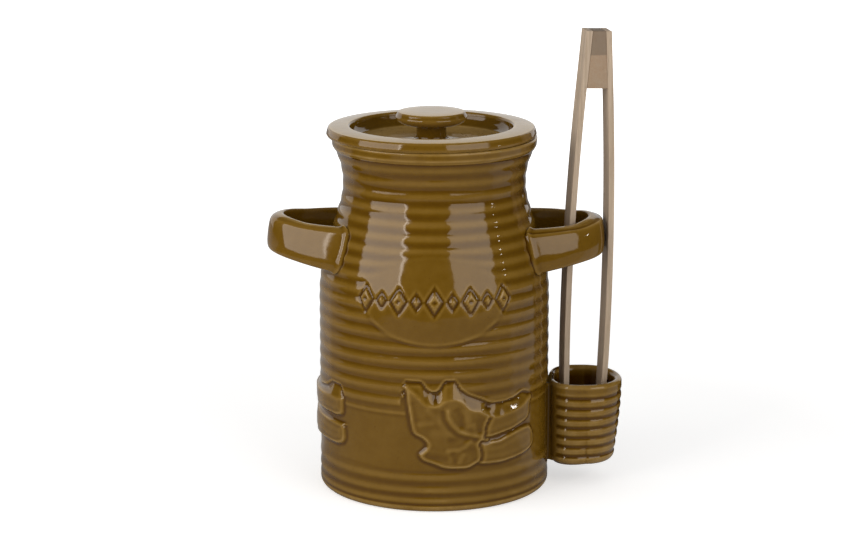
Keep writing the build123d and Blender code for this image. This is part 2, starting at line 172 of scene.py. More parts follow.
class TongsSizes(bpy.types.PropertyGroup):
    """The wooden tongs."""

    arm_thickness: length("Arm thickness", "Thickness of an arm", 3.2)
    arm_width: length("Arm width", "Width of an arm", 14.0)
    tip_width: length("Tip width", "Width of an arm at its tip", 8.2)
    tip_taper: length("Tip taper", "Length over which an arm narrows", 52.0)
    tongs_length: length("Tongs length", "Length of the tongs", 234.0)
    block_length: length("Block length", "Length of the block between the arms", 31.0)
    block_top: length("Block top", "Width of the block at its top", 7.2)
    block_low: length("Block bottom", "Width of the block at its lower end", 11.4)
    bow_height: length("Bow height", "Height above the tips where the arms bow most", 62.0)
    bow_gap: length("Bow gap", "Half the gap between the arms at the bow", 9.49)
    tip_gap: length("Tip gap", "Half the gap between the tips", 7.03)
    foot_x: length("Foot X", "Where the tongs' middle line starts", 81.0)
    foot_z: length("Foot Z", "Height of the tips above the table", 16.75)
    lean: slant("Lean", "Lean outwards", 1.5)
    yaw: slant("Yaw", "Turn about the upright", 9.0)
    edge: length("Edge", "Rounding of the wood's edges", 0.35)


class Finishes(bpy.types.PropertyGroup):
    """Colours of the glaze, the bare clay and the wood."""

    glaze_deep: colour("Glaze in hollows", "Where the glaze lies thick", (0.26, 0.145, 0.0))
    glaze: colour("Glaze", "The glaze on a plain face", (0.40, 0.285, 0.05))
    glaze_thin: colour("Glaze on ridges", "Where the glaze runs thin", (0.49, 0.37, 0.14))
    glaze_edge: colour("Glaze on edges", "Where the clay shows through", (0.72, 0.60, 0.38))
    clay: colour("Bare clay", "The unglazed foot ring", (0.72, 0.62, 0.50))
    wood_pale: colour("Pale wood", "Wood between the grain lines", (0.78, 0.70, 0.61))
    wood_dark: colour("Dark wood", "Grain lines of the wood", (0.64, 0.56, 0.47))
    block_wood: colour("Block wood", "The darker block", (0.62, 0.51, 0.40))


class StudioSettings(bpy.types.PropertyGroup):
    """Camera, lamps and floor."""

    lens: number("Lens", "Focal length in millimetres", 109.47)
    camera_distance: length("Camera distance", "Distance from the camera to its target", 1421.3)
    camera_pitch: slant("Camera pitch", "How far the camera looks down", 13)
    target_height: length("Target height", "Height of the point the camera looks at", 119.94)
    camera_side: length("Camera side", "How far the camera stands left of the jar's axis", 3.72)
    lamp_distance: length("Lamp distance", "Distance of the soft boxes", 1300)
    lamp_radiance: number("Lamp radiance", "Brightness of a soft box", 2.1)
    fill: number("Fill", "Light from all sides on the object", 0.44)
    gloss: number("Gloss", "Brightness of the surroundings in reflections", 0.85)


def add_piece(name, primitive, **options):
    """Add a primitive as a new piece."""
    bpy.ops.object.select_all(action="DESELECT")
    primitive(**options)
    piece = bpy.context.object
    piece.name = name
    piece.data.name = name
    return piece


def edit_all():
    """Open the active piece in edit mode with everything selected."""
    bpy.ops.object.mode_set(mode="EDIT")
    bpy.ops.mesh.select_all(action="SELECT")


def extrude_by(step):
    bpy.ops.mesh.extrude_region_move(TRANSFORM_OT_translate={"value": step})


def close_piece():
    """Merge what meets, point the faces outwards and leave edit mode with smooth shading."""
    bpy.ops.mesh.select_all(action="SELECT")
    bpy.ops.mesh.remove_doubles(threshold=0.002 * MM)
    bpy.ops.mesh.normals_make_consistent(inside=False)
    bpy.ops.object.mode_set(mode="OBJECT")
    bpy.ops.object.shade_smooth_by_angle(angle=radians(50))


def lathe(name, outline, turns, first_azimuth=0, centre=0):
    """Draw an outline of (radius, height) points and spin it in turns of (degrees, steps)."""
    outward = Vector((sin(radians(first_azimuth)), -cos(radians(first_azimuth)), 0))
    middle = Vector((centre, 0, 0))
    places = [middle + outward * radius + Vector((0, 0, height)) for radius, height in outline]
    piece = add_piece(name, bpy.ops.mesh.primitive_plane_add, size=MM)
    edit_all()
    bpy.ops.mesh.merge(type="CENTER")
    bpy.ops.transform.translate(value=places[0])
    for here, there in zip(places, places[1:]):
        extrude_by(there - here)
    bpy.ops.mesh.select_all(action="SELECT")
    for angle, steps in turns:
        bpy.ops.mesh.spin(steps=steps, angle=radians(angle), center=middle, axis=(0, 0, -1))
    close_piece()
    return piece


def apply_modifier(piece, kind, **values):
    """Add a modifier with its values to a piece and apply it."""
    bpy.ops.object.select_all(action="DESELECT")
    piece.select_set(True)
    bpy.context.view_layer.objects.active = piece
    modifier = piece.modifiers.new(kind.lower(), kind)
    for key, value in values.items():
        setattr(modifier, key, value)
    bpy.ops.object.modifier_apply(modifier=modifier.name)


def arc(centre, radius, start, end, steps):
    """Points of an arc in an outline, from one angle to another in degrees, 0 outwards and 90 up."""
    angles = np.radians(np.linspace(start, end, steps + 1))
    return [(centre[0] + radius * cos(a), centre[1] + radius * sin(a)) for a in angles]


def corners(piece):
    """The piece's vertices as an array."""
    places = np.empty(len(piece.data.vertices) * 3)
    piece.data.vertices.foreach_get("co", places)
    return places.reshape(-1, 3)


def put_corners(piece, places):
    piece.data.vertices.foreach_set("co", places.ravel())
    piece.data.update()


def ease(low, high, value):
    """0 below low, 1 above high and smooth between."""
    share = np.clip((value - low) / (high - low), 0, 1)
    return share * share * (3 - 2 * share)


def between(rise, fall, value):
    """1 between a rise and a fall, each given as (low, high)."""
    return ease(*rise, value) * (1 - ease(*fall, value))


def bump(value, width):
    """A smooth hump of height 1 round 0."""
    return np.exp(-((value / width) ** 2))


def line_distance(points, u, v, closed=False):
    """Distance from each place to a line through points."""
    ends = points[1:] + points[:1] if closed else points[1:]
    nearest = np.full(np.shape(u), 1e9)
    for (ax, ay), (bx, by) in zip(points, ends):
        dx, dy = bx - ax, by - ay
        share = np.clip(((u - ax) * dx + (v - ay) * dy) / (dx * dx + dy * dy), 0, 1)
        nearest = np.minimum(nearest, np.hypot(u - ax - share * dx, v - ay - share * dy))
    return nearest


def depth_inside(points, u, v):
    """Distance to a closed outline, positive inside and negative outside."""
    within = np.zeros(np.shape(u), bool)
    for (ax, ay), (bx, by) in zip(points, points[1:] + points[:1]):
        crosses = (ay > v) != (by > v)
        rise = by - ay if by != ay else 1e-9
        within ^= crosses & (u < (bx - ax) * (v - ay) / rise + ax)
    distance = line_distance(points, u, v, closed=True)
    return np.where(within, distance, -distance)


def ripple(u, v, scale, seed):
    """A smooth uneven value between about -1 and 1."""
    rng = np.random.default_rng(seed)
    total = 0
    for _ in range(7):
        angle = rng.uniform(0, 2 * pi)
        reach = scale * rng.uniform(0.6, 1.6)
        phase = rng.uniform(0, 2 * pi)
        total = total + np.sin((u * cos(angle) + v * sin(angle)) / reach * 2 * pi + phase)
    return total / 4


class Side:
    """The jar's outside over the tops of its ribs."""

    def __init__(self, sizes):
        self.body = sizes.body_radius
        self.foot = self.body - sizes.heel
        self.rim_height = sizes.rim_height
        self.bead_low = sizes.rim_height - sizes.bead
        self.neck_radius = sizes.rim_radius - sizes.neck_draw
        self.neck_height = sizes.rim_height - sizes.neck_depth
        self.shoulder = sizes.rim_height - sizes.shoulder_depth
        draw_in = self.body - self.neck_radius
        draw_up = self.neck_height - self.shoulder
        self.angle = 2 * sizes.slope_share * atan2(draw_in, draw_up)
        sweeps = (draw_up * tan(self.angle) - draw_in) * cos(self.angle) / (1 - cos(self.angle))
        self.shoulder_sweep = sizes.sweep_share * sweeps
        self.neck_sweep = sweeps - self.shoulder_sweep
        self.shoulder_end = self.shoulder + self.shoulder_sweep * sin(self.angle)
        self.neck_start = self.neck_height - self.neck_sweep * sin(self.angle)
        self.flare_out = sizes.rim_radius - sizes.bead_step - self.neck_radius
        flare_up = self.bead_low - self.neck_height
        self.flare_sweep = (flare_up**2 + self.flare_out**2) / (2 * self.flare_out)

    def radius(self, height):
        """Radius at heights between the foot and the bead."""
        z = np.asarray(height, float)
        over = np.clip(z - self.shoulder, 0, self.shoulder_sweep)
        shoulder = self.body - self.shoulder_sweep + np.sqrt(self.shoulder_sweep**2 - over**2)
        line_start = self.body - self.shoulder_sweep * (1 - cos(self.angle))
        line = line_start - (z - self.shoulder_end) * tan(self.angle)
        under = np.clip(self.neck_height - z, 0, self.neck_sweep)
        neck = self.neck_radius + self.neck_sweep - np.sqrt(self.neck_sweep**2 - under**2)
        above = np.clip(z - self.neck_height, 0, self.flare_sweep)
        flare = self.neck_radius + self.flare_sweep - np.sqrt(self.flare_sweep**2 - above**2)
        tops = (self.shoulder, self.shoulder_end, self.neck_start, self.neck_height)
        return np.select([z <= top for top in tops], [self.body, shoulder, line, neck], flare)

    def tilt(self, height):
        """How far the side faces upwards, in radians."""
        step = 0.05 * MM
        return np.arctan2(self.radius(height - step) - self.radius(height + step), 2 * step)

    def crests(self, sizes):
        """Heights of the ribs, from the foot up."""
        low = [sizes.frieze_low + sizes.rib_pitch * step for step in (-2.28, -1.48, -0.5, 0.5)]
        high = [sizes.frieze_high - 0.6 * sizes.rib_pitch, sizes.frieze_high + 0.4 * sizes.rib_pitch]
        while high[-1] + sizes.rib_pitch < self.bead_low:
            high.append(high[-1] + sizes.rib_pitch * cos(float(self.tilt(high[-1]))))
        return low, high


# Places on the front are (azimuth, height in millimetres), read round the jar
LEAF = [
    (-15.5, 72), (-14, 66), (-13.5, 61), (-12.5, 54), (-11.5, 47.5), (-10, 43.5), (-6, 41), (-4, 38.5),
    (-4.5, 36), (-6.5, 34), (-7.5, 32), (-5.5, 29), (0, 26.7), (4.5, 24.7), (10, 24), (16, 24),
    (19.5, 25.5), (23, 28), (23.5, 32.5), (22.5, 36.5), (23.5, 38.3), (26.6, 37.8), (27.6, 39.3),
    (25.2, 40.3), (25.3, 43), (26, 47), (28, 52), (28, 58), (22, 60), (14, 66), (6, 66), (2, 63),
    (-4.5, 64), (-10, 70),
]  # fmt: skip
# Ridges and creases of the leaf: (rise in millimetres, width, places along it)
LEAF_STROKES = [
    (0.5, 0.9, [(6, 56.5), (6.5, 53.5), (8.5, 49.5), (11.5, 45.5), (15.5, 43.5), (19.5, 42), (24, 41)]),
    (-0.5, 0.9, [(4.2, 56), (4.6, 51.5), (7.3, 46.8), (11.5, 43), (16, 41.3), (20, 40)]),
    (-0.4, 1.2, [(11, 56.5), (13, 52.5), (13.5, 49)]),
    (0.25, 1.1, [(15.5, 56), (16, 52), (16.5, 48)]),
    (-0.35, 1.6, [(22.7, 49.5), (22.9, 46)]),
    (0.25, 0.9, [(19, 48), (20, 43)]),
    (0.3, 0.8, [(27.3, 51), (26, 47), (25, 42)]),
    (0.3, 1.1, [(-6.5, 49.3), (-1.5, 50)]),
    (0.3, 1.8, [(0, 44.6), (6, 44)]),
    (0.4, 0.9, [(7, 34.6), (12, 35), (15, 36.5), (17.3, 39.5)]),
    (-0.35, 1.2, [(8, 40.5), (12.5, 40.6), (15.5, 40.3)]),
    (-0.4, 1.3, [(-3, 31.7), (5, 30.3)]),
    (0.3, 0.9, [(12, 28.5), (13.8, 32)]),
    (-0.3, 1.0, [(8.8, 33), (10, 29)]),
    (-0.3, 1.3, [(-11, 60), (-9, 52)]),
    (0.25, 1.2, [(-3, 57), (2, 51)]),
    (-0.3, 1.4, [(19, 34), (20, 29)]),
    (-0.9, 0.6, [(26.2, 42.6), (26.4, 42.4)]),
]
# The ribbed skin's torn lower edge, and the foot of the slope under it
TORN_EDGE = [
    (-180, 57.8), (-80, 57.8), (-68, 60.5), (-62, 64), (-53, 64), (-51.5, 59), (-46, 57.8), (-17, 58.2),
    (-16, 59.5), (-15.5, 72.5), (-6, 72.5), (-5, 69.5), (-2.5, 67), (0.5, 66.5), (3, 68.5), (4.5, 73),
    (11, 73), (11.6, 69), (16, 65), (22.5, 62), (28, 59), (35.5, 58.4), (42.5, 59.5), (46, 61),
    (49.5, 62), (53.5, 60), (64, 59.5), (75, 57.8), (180, 57.8),
]  # fmt: skip
LEDGE = [
    (-124, 56), (-50, 56), (-49, 50), (-16.5, 50), (-15.5, 70.7), (-10, 66), (-4.5, 59.7), (-1.5, 59.2),
    (1, 58.7), (3, 59.6), (5, 61.5), (8.5, 62.6), (13, 61.4), (15.5, 58), (18.5, 55.7), (22.5, 54.6),
    (27, 51.7), (33, 50.6), (36, 51.5), (42.5, 52.5), (47.5, 54), (53, 57),
]  # fmt: skip
# Azimuths between which the edge is torn: where it starts and where it ends
TORN_REACHES = [((-124.5, -123.5), (-51.6, -50.6)), ((-16.3, -15.6), (53.6, 55.2))]
# Hollows in the slope: (middle, half width, half height, depth)
HOLLOWS = [
    ((0.5, 64.0), 1.9, 3.0, 1.5), ((27.3, 56.8), 1.9, 1.7, 1.3), ((40.5, 58.3), 4.6, 0.9, 0.7),
    ((-9, 71.5), 5.5, 1.2, 0.5), ((6.5, 71.5), 1.9, 1.2, 0.4),
]  # fmt: skip
GHERKINS = [
    [(-120, 60), (-54, 60), (-51, 58), (-50.6, 51), (-51.5, 48), (-55, 46.6), (-64, 46), (-120, 46)],
    [(-120, 43.2), (-54, 43.2), (-50.2, 42), (-49.2, 37.5), (-49.8, 33.6), (-53.5, 31), (-64, 30),
     (-120, 30)],
    [(20, 58), (53, 60), (54, 51.5), (52.5, 46), (45.5, 43.4), (37, 41.4), (20, 40.6)],
    [(20, 38.2), (32, 38.4), (37, 39.8), (45.5, 41.8), (53.5, 42), (57, 37), (57.5, 31.5), (54, 28),
     (48.5, 26.5), (41, 25.5), (32, 25), (20, 27)],
]  # fmt: skip
FRONT_REACH = 75
# Lozenges: half width and half height of a small and of a tall one, in millimetres
ORNAMENT_HEIGHT, ORNAMENT_PITCH = 115.2, 9.7
SMALL_LOZENGE, TALL_LOZENGE = (1.9, 2.9), (3.7, 5.7)
# The oval field's middle height, half width and half height, in millimetres
FIELD_HEIGHT, FIELD_WIDE, FIELD_TALL = 116.5, 41.5, 25.2

# An ear's section as shares of its band and of its height: (outwards, up)
EAR_SECTION = [
    (0, 0.1), (0.08, 0.01), (0.5, 0), (0.83, 0.02), (0.965, 0.09), (1, 0.19), (0.978, 0.32),
    (0.893, 0.52), (0.774, 0.7), (0.633, 0.86), (0.529, 0.93), (0.374, 0.98), (0.144, 1), (0.03, 0.99),
    (0, 0.95), (0, 0.5),
]  # fmt: skip


def rib_depths(sizes, side, azimuth, height):
    """How far the ribbed skin lies below the crests, with a potter's unevenness."""
    low, high = side.crests(sizes)
    sway = 0.30 * MM * ripple(azimuth, 0 * azimuth, 150, 3)
    sway = sway + 0.16 * MM * ripple(azimuth, height / MM, 50, 4)
    z = height + sway
    depth = np.zeros_like(z)
    for crests in (low, high):
        place = np.interp(z, crests, np.arange(len(crests)))
        share = place - np.floor(place)
        depth = depth + (0.5 - 0.5 * np.cos(2 * pi * share)) * ((z > crests[0]) & (z < crests[-1]))
    depth = np.where(z < low[0], 1 - ease(low[0] - 3 * MM, low[0], z), depth)
    top = high[-1]
    depth = np.where(z > top, 0.9 * ease(top, side.bead_low - 0.5 * MM, z), depth)
    uneven = 1 + 0.22 * ripple(azimuth, height / MM, 45, 5)
    return sizes.rib_depth * depth * uneven


def rounded(points, steps=5):
    """A closed outline with its corners turned into curves that pass through the same points."""
    ring = [np.array(point, float) for point in points]
    count = len(ring)
    curve = []
    for index in range(count):
        a, b, c, d = (ring[(index + step) % count] for step in (-1, 0, 1, 2))
        for share in np.arange(steps) / steps:
            turn = 2 * b + (c - a) * share + (2 * a - 5 * b + 4 * c - d) * share**2
            curve.append(tuple(0.5 * (turn + (3 * b - a - 3 * c + d) * share**3)))
    return curve


def ornament_height(u, v):
    """A row of plain lozenges across the front, tall and small in turn, each in a sunk outline."""
    total = np.zeros_like(u)
    for step in range(-4, 5):
        du, dv = u - step * ORNAMENT_PITCH, v - ORNAMENT_HEIGHT
        wide, tall = SMALL_LOZENGE if step % 2 else TALL_LOZENGE
        far = (np.abs(du) / wide + np.abs(dv) / tall - 1) * wide * tall / hypot(wide, tall)
        raised = 1.05 * (1 - ease(-0.85, 0.25, far)) - 0.5 * bump(far - 0.8, 0.6)
        raised = raised - 0.55 * bump(np.hypot(du, dv), 0.85) * (step % 2 == 0)
        total = np.where(far < 2, raised, total)
    return total


def frieze_height(plain, crown, unrolled, azimuth, u, v):
    """Gherkins with the leaf over them, between the plain ground and the crown of the relief."""
    frieze = plain + 0.14 * bump(v - 54.6, 1.2) - 0.12 * bump(v - 51.4, 1.3)
    left_swell = 0.55 * (1 - ease(-84, -62, azimuth))
    for index, outline in enumerate(GHERKINS):
        within = depth_inside(rounded(unrolled(outline)), u, v)
        dome = ease(-0.4, 1.3, within) * (0.74 + 0.26 * ease(0, 5.5, within))
        dome = dome + 0.07 * bump(within - 1.2, 0.6)
        dome = dome * (1 + 0.05 * ripple(u, v, 25, 20 + index) + left_swell)
        frieze = np.maximum(frieze, plain + (crown - plain) * dome)
    within = depth_inside(rounded(unrolled(LEAF)), u, v)
    front = crown - 0.12 + 0.10 * ripple(u, v, 13, 8)
    for rise, wide, stroke in LEAF_STROKES:
        ridge = bump(line_distance(unrolled(stroke), u, v), 1.8 * wide)
        front = front + 0.5 * rise * ridge * ease(0, 1, within)
    front = front + 0.14 * bump(within - 1.2, 0.75)
    leaf = plain + (front - plain) * ease(-0.5, 1.4, within)
    around_leaf = np.maximum(leaf, frieze - 0.5 * bump(within + 0.2, 0.9))
    return np.where(within > -2, np.where(within > 0.3, leaf, around_leaf), frieze)


def slope_height(crown, share, reach, u, v):
    """The slope from the ledge up to the torn edge, with its hollows."""
    slope = crown - 0.05 + (-1.35 - crown) * share + 0.05 * ripple(u, v, 14, 12) * np.sin(pi * share)
    for (azimuth, z), wide, tall, deep in HOLLOWS:
        slope = slope - deep * bump(np.hypot((u - azimuth * reach) / wide, (v - z) / tall), 1.0)
    return slope


def relief_heights(sizes, side, azimuth, height):
    """How far the finished front stands out from the crest surface, in metres."""
    reach = side.body / MM * pi / 180
    u, v = azimuth * reach, height / MM

    def unrolled(points):
        return [(a * reach, z) for a, z in points]

    def softened(line):
        """Height of a line with its corners worn round."""
        shifts = (-1.2, -0.4, 0.4, 1.2)
        return sum(np.interp(u + shift, *zip(*unrolled(line))) for shift in shifts) / len(shifts)

    ribs = -rib_depths(sizes, side, azimuth, height) / MM
    plain = -sizes.rib_depth / MM * 1.1
    crown = plain + sizes.relief / MM
    edge, ledge = softened(TORN_EDGE), softened(LEDGE)
    torn = sum(between(rise, fall, azimuth) for rise, fall in TORN_REACHES)
    frieze = frieze_height(plain, crown, unrolled, azimuth, u, v)
    share = np.clip((v - ledge) / np.maximum(edge - ledge, 0.5), 0, 1)
    slope = slope_height(crown, share, reach, u, v)
    frieze = frieze + torn * ease(-0.4, 0.4, v - ledge) * (slope - frieze)
    ground = ribs + (frieze - ribs) * ease(-0.6, 0.6, v - sizes.frieze_low / MM)
    soft = 1 - torn
    skin = ease(-0.45 - soft, 0.25 + soft, v - edge)
    lip = 0.16 * bump(v - edge - 0.5, 0.6) * torn
    ground = ground + (ribs + lip - ground) * skin
    near_front = (np.abs(azimuth) < FRONT_REACH).astype(float)
    # Roughly the millimetres inside the oval's edge, which is crisp below and fades out above
    oval = (1 - np.hypot(u / FIELD_WIDE, (v - FIELD_HEIGHT) / FIELD_TALL)) * 24
    upper = ease(105, 135, v)
    field = ease(-0.8 - 1.7 * upper, 1.4 + 2.4 * upper, oval) * near_front
    raised = 0.16 - 0.16 * upper + 0.07 * ripple(u, v, 26, 9)
    ground = ground + (raised - ground) * field
    return (ground + ornament_height(u, v) * near_front) * MM


def jar_outline(sizes, side):
    """Outline of the jar from the middle of its foot, up the outside and down the inside."""
    recess, ring = sizes.foot_recess, side.foot - sizes.foot_ring
    points = [(0, recess), (ring * 0.5, recess), (ring - recess, recess), (ring, 0), (side.foot, 0)]
    points += arc((side.body - sizes.heel, sizes.heel), sizes.heel, -75, 0, 5)
    step = 0.68 * MM
    count = round((side.bead_low - sizes.heel) / step)
    heights = np.linspace(sizes.heel, side.bead_low, count + 1)[1:]
    points += [(float(side.radius(z)), z) for z in heights]
    foot = float(side.radius(side.bead_low))
    start = float(ease(-0.1, 0.45, 0))
    for share in np.linspace(0, 1, 15)[1:]:
        eased = (float(ease(-0.1, 0.45, share)) - start) / (1 - start)
        swell = 0.62 * eased + 0.38 * share
        radius = foot + (sizes.rim_radius - sizes.bead_inset - foot) * swell
        points.append((radius, side.bead_low + share * (sizes.bead - MM)))
    edge = 1.0 * MM
    points += arc((points[-1][0] - edge, side.rim_height - edge), edge, 10, 90, 4)
    mouth = sizes.rim_radius - sizes.rim_width
    points += arc((mouth + edge, side.rim_height - edge), edge, 90, 180, 4)
    points.append((mouth, side.rim_height - sizes.mouth_depth))
    inset = sizes.rib_depth + sizes.wall
    corner = sizes.floor_corner
    for z in np.linspace(side.neck_height, sizes.floor + corner, 26):
        points.append((float(side.radius(z)) - inset, z))
    inner = side.body - inset
    points += arc((inner - corner, sizes.floor + corner), corner, 0, -90, 6)[1:]
    points += [(inner * 0.5, sizes.floor), (0, sizes.floor)]
    return points


# Bend times gain that brings three quarters of the change from thick to thin glaze
STRONG_BEND = 0.36


def glaze_thickness(piece, gain, spread=2, dark=0, worn=0):
    """Store where the glaze runs thin (1, on edges) and thick (0, in hollows), plus painted shade and
    painted top highlight.
    """
    mesh = piece.data
    places = corners(piece)
    count = len(places)
    normals = np.empty(count * 3)
    mesh.vertices.foreach_get("normal", normals)
    normals = normals.reshape(-1, 3)
    pairs = np.empty(len(mesh.edges) * 2, int)
    mesh.edges.foreach_get("vertices", pairs)
    first, second = pairs.reshape(-1, 2).T
    along = places[second] - places[first]
    reach = np.maximum(np.linalg.norm(along, axis=1), 1e-6)

    def gathered(at_first, at_second):
        """At each vertex, the sum of what its edges bring."""
        return np.bincount(first, at_first, count) + np.bincount(second, at_second, count)

    rise, fall = (np.einsum("ij,ij->i", along, normals[end]) / reach**2 for end in (first, second))
    joined = np.maximum(gathered(None, None), 1)
    hollow = gathered(rise, -fall) / joined
    for _ in range(spread):
        hollow = 0.4 * hollow + 0.6 * gathered(hollow[second], hollow[first]) / joined
    # Painted shade: dark lowers the value, so the glaze turns darker where a piece asks for shade
    thin = 0.5 + 0.3 * np.tanh(-gain * MM * hollow / STRONG_BEND) - dark
    # Painted highlight: faces that look up are made paler, as if lit from above
    thin = thin + worn * ease(0.86, 0.98, normals[:, 2])
    # The stored value also carries the painted shade and the painted highlight
    store = mesh.attributes.new("thin", "FLOAT", "POINT")
    store.data.foreach_set("value", np.clip(thin, 0, 1).astype(np.float32))


def finish_piece(piece, body, node, material):
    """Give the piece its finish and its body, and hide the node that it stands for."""
    piece.data.materials.clear()
    piece.data.materials.append(material)
    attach(piece, body)
    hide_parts(node)


class Wire:
    """A node's output in a sum: each operation adds a Math node."""

    def __init__(self, shop, socket):
        self.shop = shop
        self.socket = socket

    def __add__(self, other):
        return self.shop.maths("ADD", self, other)

    def __sub__(self, other):
        return self.shop.maths("SUBTRACT", self, other)

    def __rsub__(self, other):
        return self.shop.maths("SUBTRACT", other, self)

    def __mul__(self, other):
        return self.shop.maths("MULTIPLY", self, other)

    __radd__ = __add__
    __rmul__ = __mul__


class Shop:
    """The nodes of one material or of the world."""

    def __init__(self, owner):
        owner.use_nodes = True
        self.tree = owner.node_tree
        self.tree.nodes.clear()

    def add(self, kind, options=None, sockets=None):
        """Add a node with its options and its sockets' values or wires, and return its outputs."""
        node = self.tree.nodes.new(kind)
        for key, value in (options or {}).items():
            if key == "stops":
                for index, (place, tone) in enumerate(value):
                    elements = node.color_ramp.elements
                    stop = elements[index] if index < len(elements) else elements.new(place)
                    stop.position = place
                    stop.color = (*tone, 1)
            else:
                setattr(node, key, value)
        for key, value in (sockets or {}).items():
            if isinstance(value, Wire):
                self.tree.links.new(value.socket, node.inputs[key])
            elif hasattr(node.inputs[key], "default_value"):
                plain = node.inputs[key].default_value
                wide = hasattr(plain, "__len__") and len(plain) == 4 and len(value) == 3
                node.inputs[key].default_value = (*value, 1) if wide else value
        return [Wire(self, output) for output in node.outputs]

    def maths(self, operation, *values):
        return self.add("ShaderNodeMath", {"operation": operation}, dict(enumerate(values)))[0]

    def largest(self, *values):
        total = values[0]
        for value in values[1:]:
            total = self.maths("MAXIMUM", total, value)
        return total

    def mix(self, share, first, second):
        """Mix two colours."""
        return self.add("ShaderNodeMix", {"data_type": "RGBA"}, {0: share, 6: first, 7: second})[2]

    def noise(self, place, scale, detail, rough):
        sockets = {"Vector": place, "Scale": scale, "Detail": detail, "Roughness": rough}
        return self.add("ShaderNodeTexNoise", None, sockets)[0]

    def ramp(self, value, stops):
        return self.add("ShaderNodeValToRGB", {"stops": stops}, {"Fac": value})[0]

    def span(self, value, low, high):
        """0 below low, 1 above high."""
        sockets = {"Value": value, "From Min": low, "From Max": high}
        return self.add("ShaderNodeMapRange", {"clamp": True}, sockets)[0]

    def window(self, value, rise, fall):
        """1 between a rise and a fall, each given as (low, high)."""
        return self.span(value, *rise) * (1 - self.span(value, *fall))

    def place(self):
        """Object coordinates."""
        return self.add("ShaderNodeTexCoord")[3]

    def axes(self):
        """Object coordinates as three numbers."""
        return self.add("ShaderNodeSeparateXYZ", None, {"Vector": self.place()})

    def stretched(self, place, scale, turn=(0, 0, 0)):
        """Coordinates scaled and turned by a Mapping node."""
        sockets = {"Vector": place, "Scale": scale, "Rotation": turn}
        return self.add("ShaderNodeMapping", None, sockets)[0]

    def rays(self, *names):
        """1 on the named kinds of ray."""
        kinds = {wire.socket.name: wire for wire in self.add("ShaderNodeLightPath")}
        return self.largest(*(kinds[name] for name in names))

    def bump(self, strength, distance, height):
        sockets = {"Strength": strength, "Distance": distance, "Height": height}
        return self.add("ShaderNodeBump", None, sockets)[0]

    def glow(self, strength):
        """White light."""
        return self.add("ShaderNodeEmission", None, {"Color": (1, 1, 1), "Strength": strength})[0]

    def paint(self, **sockets):
        """End a material in a Principled surface."""
        named = {name.replace("_", " "): value for name, value in sockets.items()}
        self.finish(self.add("ShaderNodeBsdfPrincipled", None, named)[0])

    def finish(self, surface):
        self.add("ShaderNodeOutputMaterial", None, {"Surface": surface})


def glaze_material(finishes):
    """Glossy olive-brown glaze: dark in hollows, pale on edges, with clouds and specks."""
    material = bpy.data.materials.new("brown_glaze")
    shop = Shop(material)
    place = shop.place()
    thin = shop.add("ShaderNodeAttribute", {"attribute_name": "thin"})[2]
    cloud = shop.noise(place, 26.0, 3.0, 0.55)
    fine = shop.noise(place, 210.0, 3.0, 0.6)
    names = ("glaze_deep", "glaze", "glaze_thin", "glaze_edge", "clay")
    deep, plain, pale, edge, clay = (tuple(getattr(finishes, name)) for name in names)
    middle = tuple(0.5 * (a + b) for a, b in zip(plain, deep))
    level = thin + (cloud - 0.5) * 0.22 + (fine - 0.5) * 0.10
    tone = shop.ramp(level, [(0.08, deep), (0.3, middle), (0.5, plain), (0.74, pale), (1.0, edge)])
    specks = shop.span(shop.noise(place, 900.0, 1.0, 0.4), 0.70, 0.80)
    tone = shop.mix(specks * 0.35, tone, deep)
    bare = 1 - shop.span(shop.axes()[2], 0.25 * MM, 0.7 * MM)
    waves = shop.noise(place, 75.0, 2.0, 0.5)
    shop.paint(
        Base_Color=shop.mix(bare, tone, clay),
        Roughness=bare * 0.6 + cloud * 0.05 + 0.055,
        IOR=1.55,
        Specular_Tint=(1, 0.93, 0.86),
        Normal=shop.bump(0.35, 0.5 * MM, waves + fine * 0.08),
    )
    return material


def wood_material(name, pale, dark, turn, seam=None):
    """Plain pale wood with fine grain along its length, darker above a glued seam."""
    material = bpy.data.materials.new(name)
    shop = Shop(material)
    place = shop.stretched(shop.place(), (1, 1, 1), turn)
    streaks = shop.noise(shop.stretched(place, (1.0, 1.0, 0.035)), 900.0, 4.0, 0.65)
    bands = shop.noise(shop.stretched(place, (1.0, 1.0, 0.06)), 260.0, 2.0, 0.5)
    flecks = shop.noise(shop.stretched(place, (1.0, 1.0, 0.09)), 1500.0, 1.0, 0.3)
    tone = shop.mix(shop.span(streaks * 0.6 + bands * 0.5, 0.36, 0.74), tuple(pale), tuple(dark))
    tone = shop.mix(shop.span(flecks, 0.62, 0.75) * 0.35, tone, tuple(0.6 * c for c in dark))
    if seam is not None:
        above = shop.span(shop.axes()[2], seam - 0.3 * MM, seam + 0.3 * MM)
        tone = shop.mix(above * 0.62, tone, tuple(0.42 * c for c in dark))
    normal = shop.bump(0.3, 0.1 * MM, streaks)
    shop.paint(Base_Color=tone, Roughness=streaks * 0.2 + 0.5, Normal=normal)
    return material


def finish_glazed(piece, body, node, gain, **ways):
    """Finish a piece in the glaze, which is made once, and let it run thin and thick, with any painted
    shade and painted highlight passed on.
    """
    glaze_thickness(piece, gain, **ways)
    glaze = bpy.data.materials.get("brown_glaze") or glaze_material(bpy.context.scene.jar_finishes)
    finish_piece(piece, body, node, glaze)


